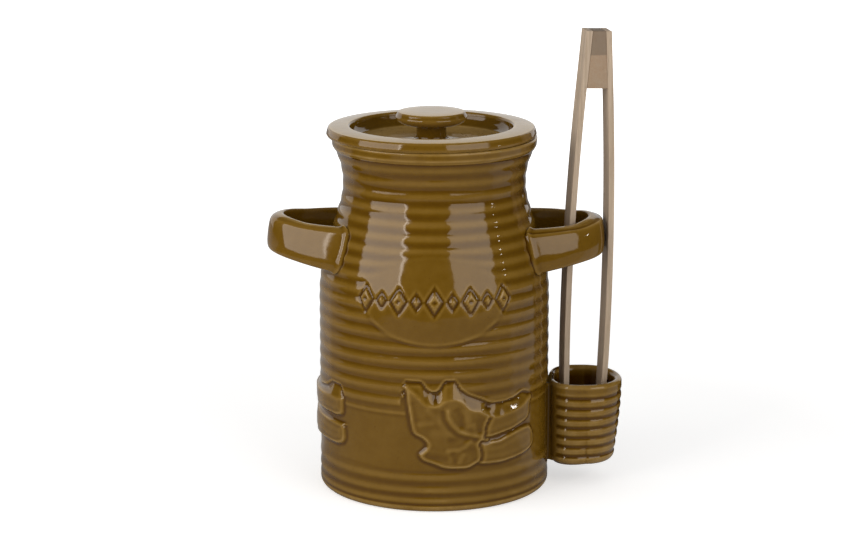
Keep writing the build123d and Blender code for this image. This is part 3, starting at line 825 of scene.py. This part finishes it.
class OLIVEJAR_OT_make_jar(bpy.types.Operator):
    """Spin the jar and raise its ribs, oval field, leaf and gherkins"""

    bl_idname = "olive_jar.make_jar"
    bl_label = "Make Jar"

    def execute(self, context):
        sizes = context.scene.jar_sizes
        side = Side(sizes)
        # Most steps go to the front, whose relief is fine
        turns = [(60, 38), (140, 172), (60, 38), (100, 26)]
        piece = lathe("jar_wall", jar_outline(sizes, side), turns, first_azimuth=-130)
        places = corners(piece)
        azimuth = np.degrees(np.arctan2(places[:, 0], -places[:, 1]))
        distance = np.hypot(places[:, 0], places[:, 1])
        height = places[:, 2]
        outside = (height > sizes.heel) & (height < side.bead_low + 0.01 * MM)
        outside &= distance > side.radius(height) - 0.5 * MM
        azimuth, height = azimuth[outside], height[outside]
        raised = relief_heights(sizes, side, azimuth, height)
        tilt, ahead = side.tilt(height), np.radians(azimuth)
        normal = [np.cos(tilt) * np.sin(ahead), -np.cos(tilt) * np.cos(ahead), np.sin(tilt)]
        places[outside] += np.stack(normal, axis=1) * raised[:, None]
        put_corners(piece, places)
        finish_glazed(piece, "jar", "jar_body", 9.0)
        return {"FINISHED"}


def make_ear(name, sign, tip, oval, root_low, roll, tip_lift, belly, sizes, jar):
    """Bend a thick band into an oval loop: draw its section, turn it half round, stretch and seat it."""
    unit = 10 * MM
    section = rounded(EAR_SECTION, 3)
    piece = add_piece(name, bpy.ops.mesh.primitive_circle_add, vertices=len(section), radius=MM)
    lead = -sign * 0.02 * unit
    put_corners(piece, np.array([(lead, -(1 + out) * unit, up * unit) for out, up in section]))
    edit_all()
    bpy.ops.mesh.edge_face_add()
    extrude_by((-lead, 0, 0))
    bpy.ops.mesh.spin(steps=EAR_STEPS, angle=sign * pi, center=(0, 0, 0), axis=(0, 0, -1))
    extrude_by((lead, 0, 0))
    close_piece()
    places = corners(piece)
    centre = tip - oval[0]
    root = float(jar.radius(root_low))
    rise = sizes.ear_rise / (tip - root)
    taper = (sizes.ear_tip_tall - sizes.ear_root_tall) / (tip - root)

    def bent(out, up, angle):
        """Places on the loop at shares of its band and height, and the loop's half axes there."""
        long, wide = (half - sizes.ear_band * (1 - out) for half in oval)
        x, y = centre + long * np.cos(angle), wide * np.sin(angle)
        past = x - root
        tall = sizes.ear_root_tall + taper * past + tip_lift * ease(0.7, 1, np.cos(angle))
        height = root_low + rise * past + up * tall + roll * y * ease(-wide, 0.4 * wide, y)
        return np.stack([sign * x, y, height], axis=1), long, wide

    def above_jar(places):
        return np.hypot(places[:, 0], places[:, 1]) - jar.radius(places[:, 2])

    # Shares of the band's thickness and height, and of the half turn, closer together at the tip
    out, up = np.hypot(places[:, 0], places[:, 1]) / unit - 1, places[:, 2] / unit
    turned = np.arctan2(places[:, 1], sign * places[:, 0]) / (pi / 2)
    turned = 0.5 * turned + 0.5 * np.sin(turned * pi / 2)
    # The angle at which the loop meets a circle inside the jar's wall, at each vertex's height
    end = np.full(len(places), pi / 2)
    for _ in range(5):
        ends, long, wide = bent(out, up, np.sign(turned) * end)
        seat = jar.radius(ends[:, 2]) - sizes.ear_seat
        flat = long**2 - wide**2
        level = (centre * long) ** 2 - flat * (centre**2 + wide**2 - seat**2)
        end = np.arccos(np.clip((np.sqrt(np.clip(level, 0, None)) - centre * long) / flat, -1, 1))
    # The ends swell into the jar's glaze, and the band is fuller outside and at its tip
    gap = above_jar(bent(out, up, turned * end)[0])
    swell = 1 + 0.11 * (1 - ease(0.5 * MM, 3.0 * MM, gap)) - 0.14 * (1 - ease(0, 0.7 * MM, gap))
    fuller = out + 0.45 * (1 - out) * ease(0.35, 0.75, out) * ease(0.72, 1, np.cos(turned * end))
    higher = up + belly * np.sin(pi * np.clip(up, 0, 1)) * ease(0.5, 0.7, out)
    band, tall = (0.5 + (share - 0.5) * swell for share in (fuller, higher))
    put_corners(piece, bent(band, tall, turned * end)[0])
    apply_modifier(piece, "SUBSURF", levels=1, render_levels=1)
    gap = above_jar(corners(piece))
    # Painted shade: the band is darkened where it meets the jar, in the crease between them
    dark = 0.35 * (1 - ease(0, 0.9 * MM, gap))
    # Painted highlight on the ear's faces that look up
    finish_glazed(piece, "jar", name.replace("_loop", ""), 3.0, spread=4, dark=dark, worn=0.25)


class OLIVEJAR_OT_make_ears(bpy.types.Operator):
    """Bend the two ears"""

    bl_idname = "olive_jar.make_ears"
    bl_label = "Make Ears"

    def execute(self, context):
        sizes = context.scene.fitting_sizes
        jar = Side(context.scene.jar_sizes)
        root = jar.shoulder + sizes.ear_lift
        oval = (sizes.left_ear_length, sizes.left_ear_width)
        lift = sizes.left_ear_tip_lift
        make_ear("left_ear_loop", -1, -LEFT_EAR_LOW.x, oval, root, 0, lift, 0, sizes, jar)
        root -= sizes.right_ear_drop
        oval = (sizes.right_ear_length, sizes.right_ear_width)
        roll, lift, belly = sizes.right_ear_roll, sizes.right_ear_tip_lift, sizes.right_ear_belly
        make_ear("right_ear_loop", 1, RIGHT_EAR_HIGH.x, oval, root, roll, lift, belly, sizes, jar)
        return {"FINISHED"}


class OLIVEJAR_OT_make_cup(bpy.types.Operator):
    """Spin the ribbed cup and join it to the jar with a web"""

    bl_idname = "olive_jar.make_cup"
    bl_label = "Make Cup"

    def execute(self, context):
        sizes = context.scene.fitting_sizes
        jar = Side(context.scene.jar_sizes)
        low, high = CUP_LOW.z, CUP_HIGH.z
        left = jar.body + sizes.cup_gap
        centre, reach = (left + CUP_HIGH.x) / 2, (CUP_HIGH.x - left) / 2
        floor = low + sizes.cup_floor
        lowest = low + sizes.cup_heel
        highest = lowest + sizes.cup_ribs * sizes.cup_rib_pitch

        def cone(z):
            """Radius over the ribs, drawn in towards the heel."""
            return reach - sizes.cup_drop * np.clip((highest - z) / (highest - low), 0, 1) ** 1.5

        heel, edge = 4.6 * MM, 1.9 * MM
        foot = cone(low + heel) - heel
        outline = [(0, low), (foot * 0.5, low), (foot - 0.4 * MM, low)]
        outline += arc((foot, low + heel), heel, -90, 0, 9)[1:]
        side = np.arange(low + heel + 0.5 * MM, high - edge, 0.5 * MM)
        outline += zip(cone(side), side)
        outline += arc((reach - edge, high - edge), edge, 0, 90, 5)
        bore, inner_edge = reach - sizes.cup_wall, sizes.cup_wall - edge
        outline += arc((bore + inner_edge, high - inner_edge), inner_edge, 90, 180, 5)[1:]
        taper, mouth = 2.4 * MM, high - inner_edge
        for share in (0.08, 0.16, 0.25, 0.35, 0.5, 0.75, 0.96):
            outline.append((bore - share * taper, mouth + share * (floor - mouth)))
        outline += [(bore - taper - 1.2 * MM, floor), ((bore - taper) * 0.5, floor), (0, floor)]
        piece = lathe("cup_wall", outline, [(360, CUP_STEPS)], centre=centre)
        places = corners(piece)
        height = places[:, 2].copy()
        around = np.arctan2(places[:, 1], places[:, 0] - centre)
        distance = np.hypot(places[:, 0] - centre, places[:, 1])
        # Grooves on the outside, fading out beside the jar
        outer = distance > cone(height) - 0.01 * MM
        ribbed = 1 - ease(radians(134), radians(143), np.abs(around))
        place = (height - lowest) / sizes.cup_rib_pitch
        grooved = outer & (height > low + heel + 0.25 * MM) & (height < high - edge - 0.01 * MM)
        grooved &= (place > -0.5) & (place < sizes.cup_ribs + 0.5)
        distance = distance - sizes.cup_rib_depth * np.abs(np.cos(pi * place)) ** 3 * grooved * ribbed
        # The side towards the jar is squarer and upright
        towards = -np.cos(around)
        squared = (np.abs(towards) ** 3 + np.abs(np.sin(around)) ** 3) ** (-1 / 3)
        thin_wall = np.where(distance < cone(height) - 0.5 * sizes.cup_wall, 1.07, 1)
        upright = squared * (1 + (reach / cone(height) * thin_wall - 1) * np.abs(towards))
        distance = distance * np.where(towards > 0, upright, 1)
        places[:, 0] = centre + distance * np.cos(around)
        places[:, 1] = distance * np.sin(around) * sizes.cup_width / reach
        # The ribs sway, the back of the mouth is higher, and its wall is cut down at the jar
        tall = (height - low) / (high - low)
        sway = 0.35 * MM * np.sin(around + 0.6) + 0.18 * MM * np.sin(2 * around + 1.9)
        places[:, 2] += np.where(outer, sway * np.clip(4 * tall * (1 - tall), 0, 1), 0)
        places[:, 2] += 1.0 * MM * ease(0, sizes.cup_width, places[:, 1]) * tall
        opening = 1 - ease(radians(10), radians(20), pi - np.abs(around))
        places[:, 2] -= sizes.cup_notch * opening * ease(high - 2.2 * sizes.cup_notch, high, height)
        put_corners(piece, places)
        inside = (~outer) & (height > floor - 0.1 * MM)
        # Painted shade: the inside of the cup is darkened from a little below the rim down to the floor
        dark = 0.3 * inside * (1 - ease(high - 5 * MM, high - MM, height))
        finish_glazed(piece, "jar", "tongs_cup", 9.0, dark=dark)
        self.make_web(sizes, jar, left, low, high)
        return {"FINISHED"}

    @staticmethod
    def make_web(sizes, jar, cup_left, low, high):
        """The clay between jar and cup: a block whose sides are pinched in."""
        left, right = jar.body - 3.0 * MM, cup_left + 2.4 * MM
        bottom, top = low + 0.3 * MM, high - 1.0 * MM
        web = add_piece("cup_web", bpy.ops.mesh.primitive_cube_add, size=1)
        extent = np.array([right - left, sizes.web_width, top - bottom])
        corner = np.array([left, -sizes.web_width / 2, bottom])
        put_corners(web, (corners(web) + 0.5) * extent + corner)
        edit_all()
        bpy.ops.mesh.subdivide(number_cuts=11)
        close_piece()
        places = corners(web)
        share = (places[:, 0] - left) / (right - left)
        across = places[:, 1] / (sizes.web_width / 2)
        places[:, 1] *= 1 - 0.13 * np.sin(pi * share) ** 2
        tall = (places[:, 2] - bottom) / (top - bottom)
        dip = 0.4 * MM * np.sin(pi * share) + 0.5 * MM * np.abs(across) ** 4
        places[:, 2] -= np.where(tall > 0.95, dip, 0)
        places[:, 2] += np.where(tall < 0.05, dip, 0)
        opening = 1 - ease(3.4 * MM, 7.4 * MM, np.abs(places[:, 1]))
        places[:, 2] -= sizes.cup_notch * opening * ease(0.45, 1, tall)
        put_corners(web, places)
        apply_modifier(web, "SUBSURF", levels=1, render_levels=1)
        finish_glazed(web, "jar", "tongs_cup", 1.2, spread=3)


class OLIVEJAR_OT_make_lid(bpy.types.Operator):
    """Spin the dished lid and its knob"""

    bl_idname = "olive_jar.make_lid"
    bl_label = "Make Lid"

    def execute(self, context):
        sizes = context.scene.fitting_sizes
        jar = context.scene.jar_sizes
        centre = (LID_LOW.x + LID_HIGH.x) / 2
        edge_radius = (LID_HIGH.x - LID_LOW.x) / 2
        seat, top = jar.rim_height, LID_HIGH.z
        ridge = edge_radius - sizes.lid_ring_inset
        dish = ridge - sizes.lid_dish_hollow
        floor = top - sizes.lid_dish_depth
        skirt = jar.rim_radius - jar.rim_width - sizes.skirt_play
        inner = skirt - sizes.skirt_wall
        under, chamfer = floor - sizes.lid_plate, 0.8 * MM
        outline = [(0, under), (inner - 2 * MM, under), (inner, under - MM)]
        outline += [(inner, LID_LOW.z + chamfer), (inner + chamfer, LID_LOW.z)]
        outline += [(skirt - chamfer, LID_LOW.z), (skirt, LID_LOW.z + chamfer), (skirt, seat + 0.05 * MM)]
        lower, upper = 1.0 * MM, 1.35 * MM
        side_low = seat + lower + 0.15 * MM
        side_high = top - sizes.lid_ring_fall - upper - 0.1 * MM
        outline += arc((edge_radius - lower - 0.35 * MM, side_low), lower, -90, -12, 6)
        for share in (0.1, 0.3, 0.5, 0.7, 0.9):
            drawn_in = 0.7 * MM * share**1.4
            outline.append((edge_radius - drawn_in, side_low + share * (side_high - side_low)))
        outline += arc((edge_radius - upper - 0.72 * MM, side_high), upper, 16, 76, 8)
        outer, height = outline[-1]
        round_off = 1.5 * MM
        for share in np.arange(1, 16) / 16:
            radius = outer + share * (ridge + round_off - outer)
            outline.append((radius, height + (top - height) * (1 - (1 - share) ** 2.1)))
        outline += arc((ridge + round_off, top - round_off), round_off, 90, 172, 9)
        outer, height = outline[-1]
        for angle in pi / 2 * np.arange(1, 17) / 16:
            outline.append((dish + (outer - dish) * cos(angle), height - (height - floor) * sin(angle)))
        low = floor - 0.15 * MM
        outline += [(dish - 4 * MM, floor), (dish * 0.45, low), (0, low)]
        piece = lathe("lid_plate", outline, [(360, LID_STEPS)], centre=centre)
        # Painted highlight on the lid's faces that look up
        finish_glazed(piece, "lid", "lid", 1.6, spread=3, worn=0.42)
        self.make_knob(sizes, centre, floor)
        return {"FINISHED"}

    @staticmethod
    def make_knob(sizes, centre, floor):
        """A flat mushroom with a rounded bowl, on a stem that spreads into the dish."""
        top, radius, stem = KNOB_HIGH.z, sizes.knob_radius, sizes.stem_radius
        under = top - sizes.knob_thickness
        foot = 1.6 * MM
        outline = [(0, floor - 0.4 * MM), (stem + foot, floor - 0.4 * MM)]
        outline += arc((stem + foot, floor + foot), foot, -90, -180, 6)
        outline += arc((stem + foot, under - 1.2 * MM), foot, 180, 108, 6)
        widest = top - 0.40 * sizes.knob_thickness
        neck = stem + 2.0 * MM
        for angle in np.radians(-80 + 80 * np.arange(1, 13) / 12):
            bulge = neck + (radius - neck) * max(cos(angle), 0) ** 0.95
            outline.append((bulge, widest + (widest - under) * sin(angle)))
        for share in (0.3, 0.6, 0.9):
            outline.append((radius - 0.75 * MM * share**1.3, widest + share * 1.4 * MM))
        edge = 1.3 * MM
        outline += arc((radius - edge - 0.85 * MM, top - edge - 0.2 * MM), edge, 20, 84, 7)
        outline += [(radius * 0.6, top - 0.05 * MM), (radius * 0.3, top), (0, top)]
        knob = lathe("knob", outline, [(360, KNOB_STEPS)], centre=centre)
        # Painted highlight on the knob's faces that look up
        finish_glazed(knob, "lid", "lid_knob", 1.6, spread=3, worn=0.42)


def tangent_arc(start, heading, end, steps):
    """Points from start to end on the arc that leaves start along a heading, and its last heading."""
    chord = Vector(end) - Vector(start)
    turn = 2 * (atan2(chord.y, chord.x) - atan2(heading.y, heading.x))
    points = []
    for step in range(1, steps + 1):
        angle = turn * step / steps
        reach = chord.length * sin(angle / 2) / sin(turn / 2)
        direction = heading.normalized()
        direction.rotate(Matrix.Rotation(angle / 2, 2))
        points.append(Vector(start) + direction * reach)
    last = heading.normalized()
    last.rotate(Matrix.Rotation(turn, 2))
    return points, last


def arm_line(sizes):
    """Inner face of an arm in the plane of the tongs, from the top down: (half gap, height)."""
    low = sizes.tongs_length - sizes.block_length
    top = Vector((sizes.block_top / 2, sizes.tongs_length))
    glued = Vector((sizes.block_low / 2, low))
    steps = 10
    points = [top.lerp(glued, step / steps) for step in range(steps + 1)]
    bow, heading = tangent_arc(glued, glued - top, (sizes.bow_gap, sizes.bow_height), 46)
    tip, _ = tangent_arc(bow[-1], heading, (sizes.tip_gap, 0), 20)
    return points + bow + tip


def tongs_frame(sizes):
    """Matrix from the tongs' own axes (across, along the width, up) to the jar's."""
    lean, yaw = sizes.lean, sizes.yaw
    across = Vector((cos(lean) * cos(yaw), cos(lean) * sin(yaw), -sin(lean)))
    width = Vector((-sin(yaw), cos(yaw), 0))
    up = across.cross(width)
    turned = Matrix((across, width, up)).transposed().to_4x4()
    return Matrix.Translation((sizes.foot_x, 0, sizes.foot_z)) @ turned


def round_wood(piece, sizes):
    """Place a wooden piece in the jar's axes and round its edges."""
    piece.data.transform(tongs_frame(sizes))
    limits = {"limit_method": "ANGLE", "angle_limit": radians(40)}
    apply_modifier(piece, "BEVEL", width=sizes.edge, segments=3, **limits)
    bpy.ops.object.shade_smooth_by_angle(angle=radians(35))


def make_arm(name, sign, sizes):
    """Draw an arm's section and run it down the arm's line, narrowing it at the tip."""
    line = arm_line(sizes)
    piece = add_piece(name, bpy.ops.mesh.primitive_plane_add, size=1)
    section = np.array([sizes.arm_thickness, sizes.arm_width, 0])
    middle = np.array([sign * (line[0].x + sizes.arm_thickness / 2), 0, line[0].y])
    put_corners(piece, corners(piece) * section + middle)
    edit_all()
    for here, there in zip(line, line[1:]):
        extrude_by((sign * (there.x - here.x), 0, there.y - here.y))
    close_piece()
    places = corners(piece)
    narrow = 1 - np.clip(places[:, 2] / sizes.tip_taper, 0, 1)
    places[:, 1] *= 1 - narrow * (1 - sizes.tip_width / sizes.arm_width)
    put_corners(piece, places)
    round_wood(piece, sizes)
    return piece


class OLIVEJAR_OT_make_tongs(bpy.types.Operator):
    """Make the two arms and the block between them"""

    bl_idname = "olive_jar.make_tongs"
    bl_label = "Make Tongs"

    def execute(self, context):
        sizes = context.scene.tongs_sizes
        finishes = context.scene.jar_finishes
        pale = wood_material("grained_wood", finishes.wood_pale, finishes.wood_dark, (0, 0, 0))
        seam = sizes.foot_z + (sizes.tongs_length - 0.42 * sizes.block_length) * cos(sizes.lean)
        turn = (radians(80), 0, 0)
        darker = wood_material("end_grain_wood", finishes.block_wood, finishes.wood_dark, turn, seam)
        outer = make_arm("outer_arm", 1, sizes)
        finish_piece(outer, "tongs", "tongs_outer_arm", pale)
        inner = make_arm("inner_arm", -1, sizes)
        inner.data.materials.clear()
        inner.data.materials.append(pale)
        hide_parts("tongs_inner_arm")
        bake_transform(inner)
        finish_piece(self.make_block(sizes), "tongs", "tongs_block", darker)
        return {"FINISHED"}

    @staticmethod
    def make_block(sizes):
        """The wedge between the arms."""
        block = add_piece("block", bpy.ops.mesh.primitive_cube_add, size=1)
        places = corners(block)
        top = places[:, 2] > 0
        high, low = sizes.tongs_length - 0.1 * MM, sizes.tongs_length - sizes.block_length
        places[:, 0] *= np.where(top, sizes.block_top, sizes.block_low)
        places[:, 1] *= sizes.arm_width - 0.3 * MM
        places[:, 2] = np.where(top, high, low)
        put_corners(block, places)
        round_wood(block, sizes)
        return block


def facing(azimuth, elevation, distance, target):
    """Matrix of a lamp or a camera that stands in a direction and looks at a target."""
    a, e = radians(azimuth), radians(elevation)
    away = Vector((cos(e) * sin(a), -cos(e) * cos(a), sin(e)))
    turned = away.to_track_quat("Z", "Y").to_matrix().to_4x4()
    return Matrix.Translation(Vector(target) + away * distance) @ turned


WARM = (1, 0.97, 0.93)
LAMP_TARGET = (0, 0, 0.1)
# Watts of a lamp for each square metre and each unit of radiance
LAMP_POWER = 4
ROOM_RADIUS = 2.4


def soft_box(name, azimuth, elevation, wide, tall, distance, radiance, tint):
    """A rectangular lamp whose size is given by the angles that it covers."""
    width, height = 2 * distance * tan(radians(wide / 2)), 2 * distance * tan(radians(tall / 2))
    data = bpy.data.lights.new(name, "AREA")
    data.shape = "RECTANGLE"
    data.size, data.size_y = width, height
    data.energy = radiance * width * height * LAMP_POWER
    data.color = tint
    lamp = bpy.data.objects.new(name, data)
    bpy.context.scene.collection.objects.link(lamp)
    lamp.matrix_world = facing(azimuth, elevation, distance, LAMP_TARGET)
    return lamp


# Name, azimuth, elevation, width and height in degrees, share of the distance and of the radiance
SOFT_BOXES = [
    ("left_box", -59, 18.5, 49, 39, 1.0, 1.0),
    ("right_box", 41, 18.5, 45, 39, 1.0, 0.74),
    ("bright_strip", -35, 18.5, 2.4, 37, 0.98, 1.5),
]


class OLIVEJAR_OT_set_stage(bpy.types.Operator):
    """Set the floor, the white surroundings, the lamps and the camera"""

    bl_idname = "olive_jar.set_stage"
    bl_label = "Set Stage"

    def execute(self, context):
        studio = context.scene.studio
        scene = context.scene
        scene.view_settings.view_transform = "Standard"
        self.set_world(scene, studio)
        self.set_floor()
        self.set_dark_room()
        for name, azimuth, elevation, wide, tall, near, bright in SOFT_BOXES:
            distance, radiance = near * studio.lamp_distance, bright * studio.lamp_radiance
            soft_box(name, azimuth, elevation, wide, tall, distance, radiance, WARM)
        spot = soft_box("small_lamp", 76, 12, 2.2, 1.2, studio.lamp_distance, 32, (1, 1, 1))
        spot.data.use_shadow = False
        camera = bpy.data.objects.new("camera", bpy.data.cameras.new("camera"))
        scene.collection.objects.link(camera)
        camera.data.lens = studio.lens
        camera.data.sensor_width = 36
        camera.data.clip_end = 20
        target = (-studio.camera_side, 0, studio.target_height)
        camera.matrix_world = facing(0, degrees(studio.camera_pitch), studio.camera_distance, target)
        scene.camera = camera
        return {"FINISHED"}

    @staticmethod
    def set_world(scene, studio):
        """White to the camera, and fainter as a light and in reflections."""
        world = bpy.data.worlds.new("white_studio")
        scene.world = world
        shop = Shop(world)
        seen = shop.rays("Is Camera Ray", "Is Transmission Ray")
        mirrored = shop.rays("Is Glossy Ray")
        strength = seen * (1 - studio.fill) + mirrored * (studio.gloss - studio.fill) + studio.fill
        light = shop.add("ShaderNodeBackground", None, {"Color": (1, 1, 1), "Strength": strength})[0]
        shop.add("ShaderNodeOutputWorld", None, {"Surface": light})

    @staticmethod
    def set_floor():
        """A pale floor that glows more with distance, and that ends where the glaze mirrors it."""
        floor = add_piece("floor", bpy.ops.mesh.primitive_plane_add, size=6)
        material = bpy.data.materials.new("white_floor")
        shop = Shop(material)
        paint = shop.add("ShaderNodeBsdfDiffuse", None, {"Color": (0.8, 0.8, 0.8)})[0]
        seen = shop.rays("Is Camera Ray", "Is Transmission Ray")
        x, y, _ = shop.axes()
        away = shop.add("ShaderNodeVectorMath", {"operation": "LENGTH"}, {0: shop.place()})[1]
        glow = shop.glow(seen * (shop.span(away, 0.25, 1.6) * 0.9 + 0.52))
        surface = shop.add("ShaderNodeAddShader", None, {0: paint, 1: glow})[0]
        # Angles run from the front, towards the cup; distances are in metres
        angle = shop.maths("ARCTAN2", x, 0 - y)
        left = shop.span(0 - x, 0.34, 0.40) * (1 - shop.span(y, 0.12, 0.18))
        wedge = shop.window(angle, (1.93, 1.97), (2.62, 2.70))
        far = shop.largest(shop.span(0 - y, 0.46, 0.50), shop.span(x, 0.80, 0.86), left, wedge)
        beside = shop.window(angle, (1.30, 1.36), (1.93, 1.97))
        behind = shop.largest(beside, shop.span(0 - angle, 2.00, 2.15) * 0.9)
        dim = 0.55 - behind * 0.35
        off = (far * (1 - dim) + dim) * shop.rays("Is Glossy Ray")
        surface = shop.add("ShaderNodeMixShader", None, {0: off, 1: surface, 2: shop.glow(0.02)})[0]
        shop.finish(surface)
        floor.data.materials.append(material)

    @staticmethod
    def set_dark_room():
        """A dark screen in front and above, which only the glaze's reflections see."""
        sphere = bpy.ops.mesh.primitive_uv_sphere_add
        room = add_piece("dark_room", sphere, segments=72, ring_count=36, radius=ROOM_RADIUS)
        places = corners(room)
        azimuth = np.degrees(np.arctan2(places[:, 0], -places[:, 1]))
        elevation = np.degrees(np.arcsin(np.clip(places[:, 2] / ROOM_RADIUS, -1, 1)))
        # The back is open below, so the ribs mirror the white world there
        behind = ((azimuth < -121) | (azimuth > 141)) & (elevation < 34)
        bpy.ops.object.mode_set(mode="EDIT")
        bpy.ops.mesh.select_all(action="DESELECT")
        bpy.ops.object.mode_set(mode="OBJECT")
        room.data.vertices.foreach_set("select", behind)
        bpy.ops.object.mode_set(mode="EDIT")
        bpy.ops.mesh.delete(type="VERT")
        bpy.ops.object.mode_set(mode="OBJECT")
        material = bpy.data.materials.new("dark_room")
        shop = Shop(material)
        shop.finish(shop.glow(0.015))
        room.data.materials.append(material)
        for kind in ("camera", "diffuse", "shadow", "transmission"):
            setattr(room, "visible_" + kind, False)


class OLIVEJAR_PT_panel(bpy.types.Panel):
    """Buttons that build the jar piece by piece"""

    bl_label = "Olive Jar"
    bl_space_type = "VIEW_3D"
    bl_region_type = "UI"
    bl_category = "Olive Jar"

    def draw(self, context):
        for operator in OPERATORS:
            self.layout.operator(operator.bl_idname)


GROUPS = {
    "jar_sizes": JarSizes,
    "fitting_sizes": FittingSizes,
    "tongs_sizes": TongsSizes,
    "jar_finishes": Finishes,
    "studio": StudioSettings,
}
OPERATORS = [
    OLIVEJAR_OT_make_jar,
    OLIVEJAR_OT_make_ears,
    OLIVEJAR_OT_make_cup,
    OLIVEJAR_OT_make_lid,
    OLIVEJAR_OT_make_tongs,
    OLIVEJAR_OT_set_stage,
]


def register():
    for kind in [*GROUPS.values(), *OPERATORS, OLIVEJAR_PT_panel]:
        bpy.utils.register_class(kind)
    for name, kind in GROUPS.items():
        setattr(bpy.types.Scene, name, PointerProperty(type=kind))


def unregister():
    for name in GROUPS:
        delattr(bpy.types.Scene, name)
    for kind in reversed([*GROUPS.values(), *OPERATORS, OLIVEJAR_PT_panel]):
        bpy.utils.unregister_class(kind)


def main():
    register()
    for name in ("make_jar", "make_ears", "make_cup", "make_lid", "make_tongs", "set_stage"):
        getattr(bpy.ops.olive_jar, name)()


if __name__ == "__main__":
    main()
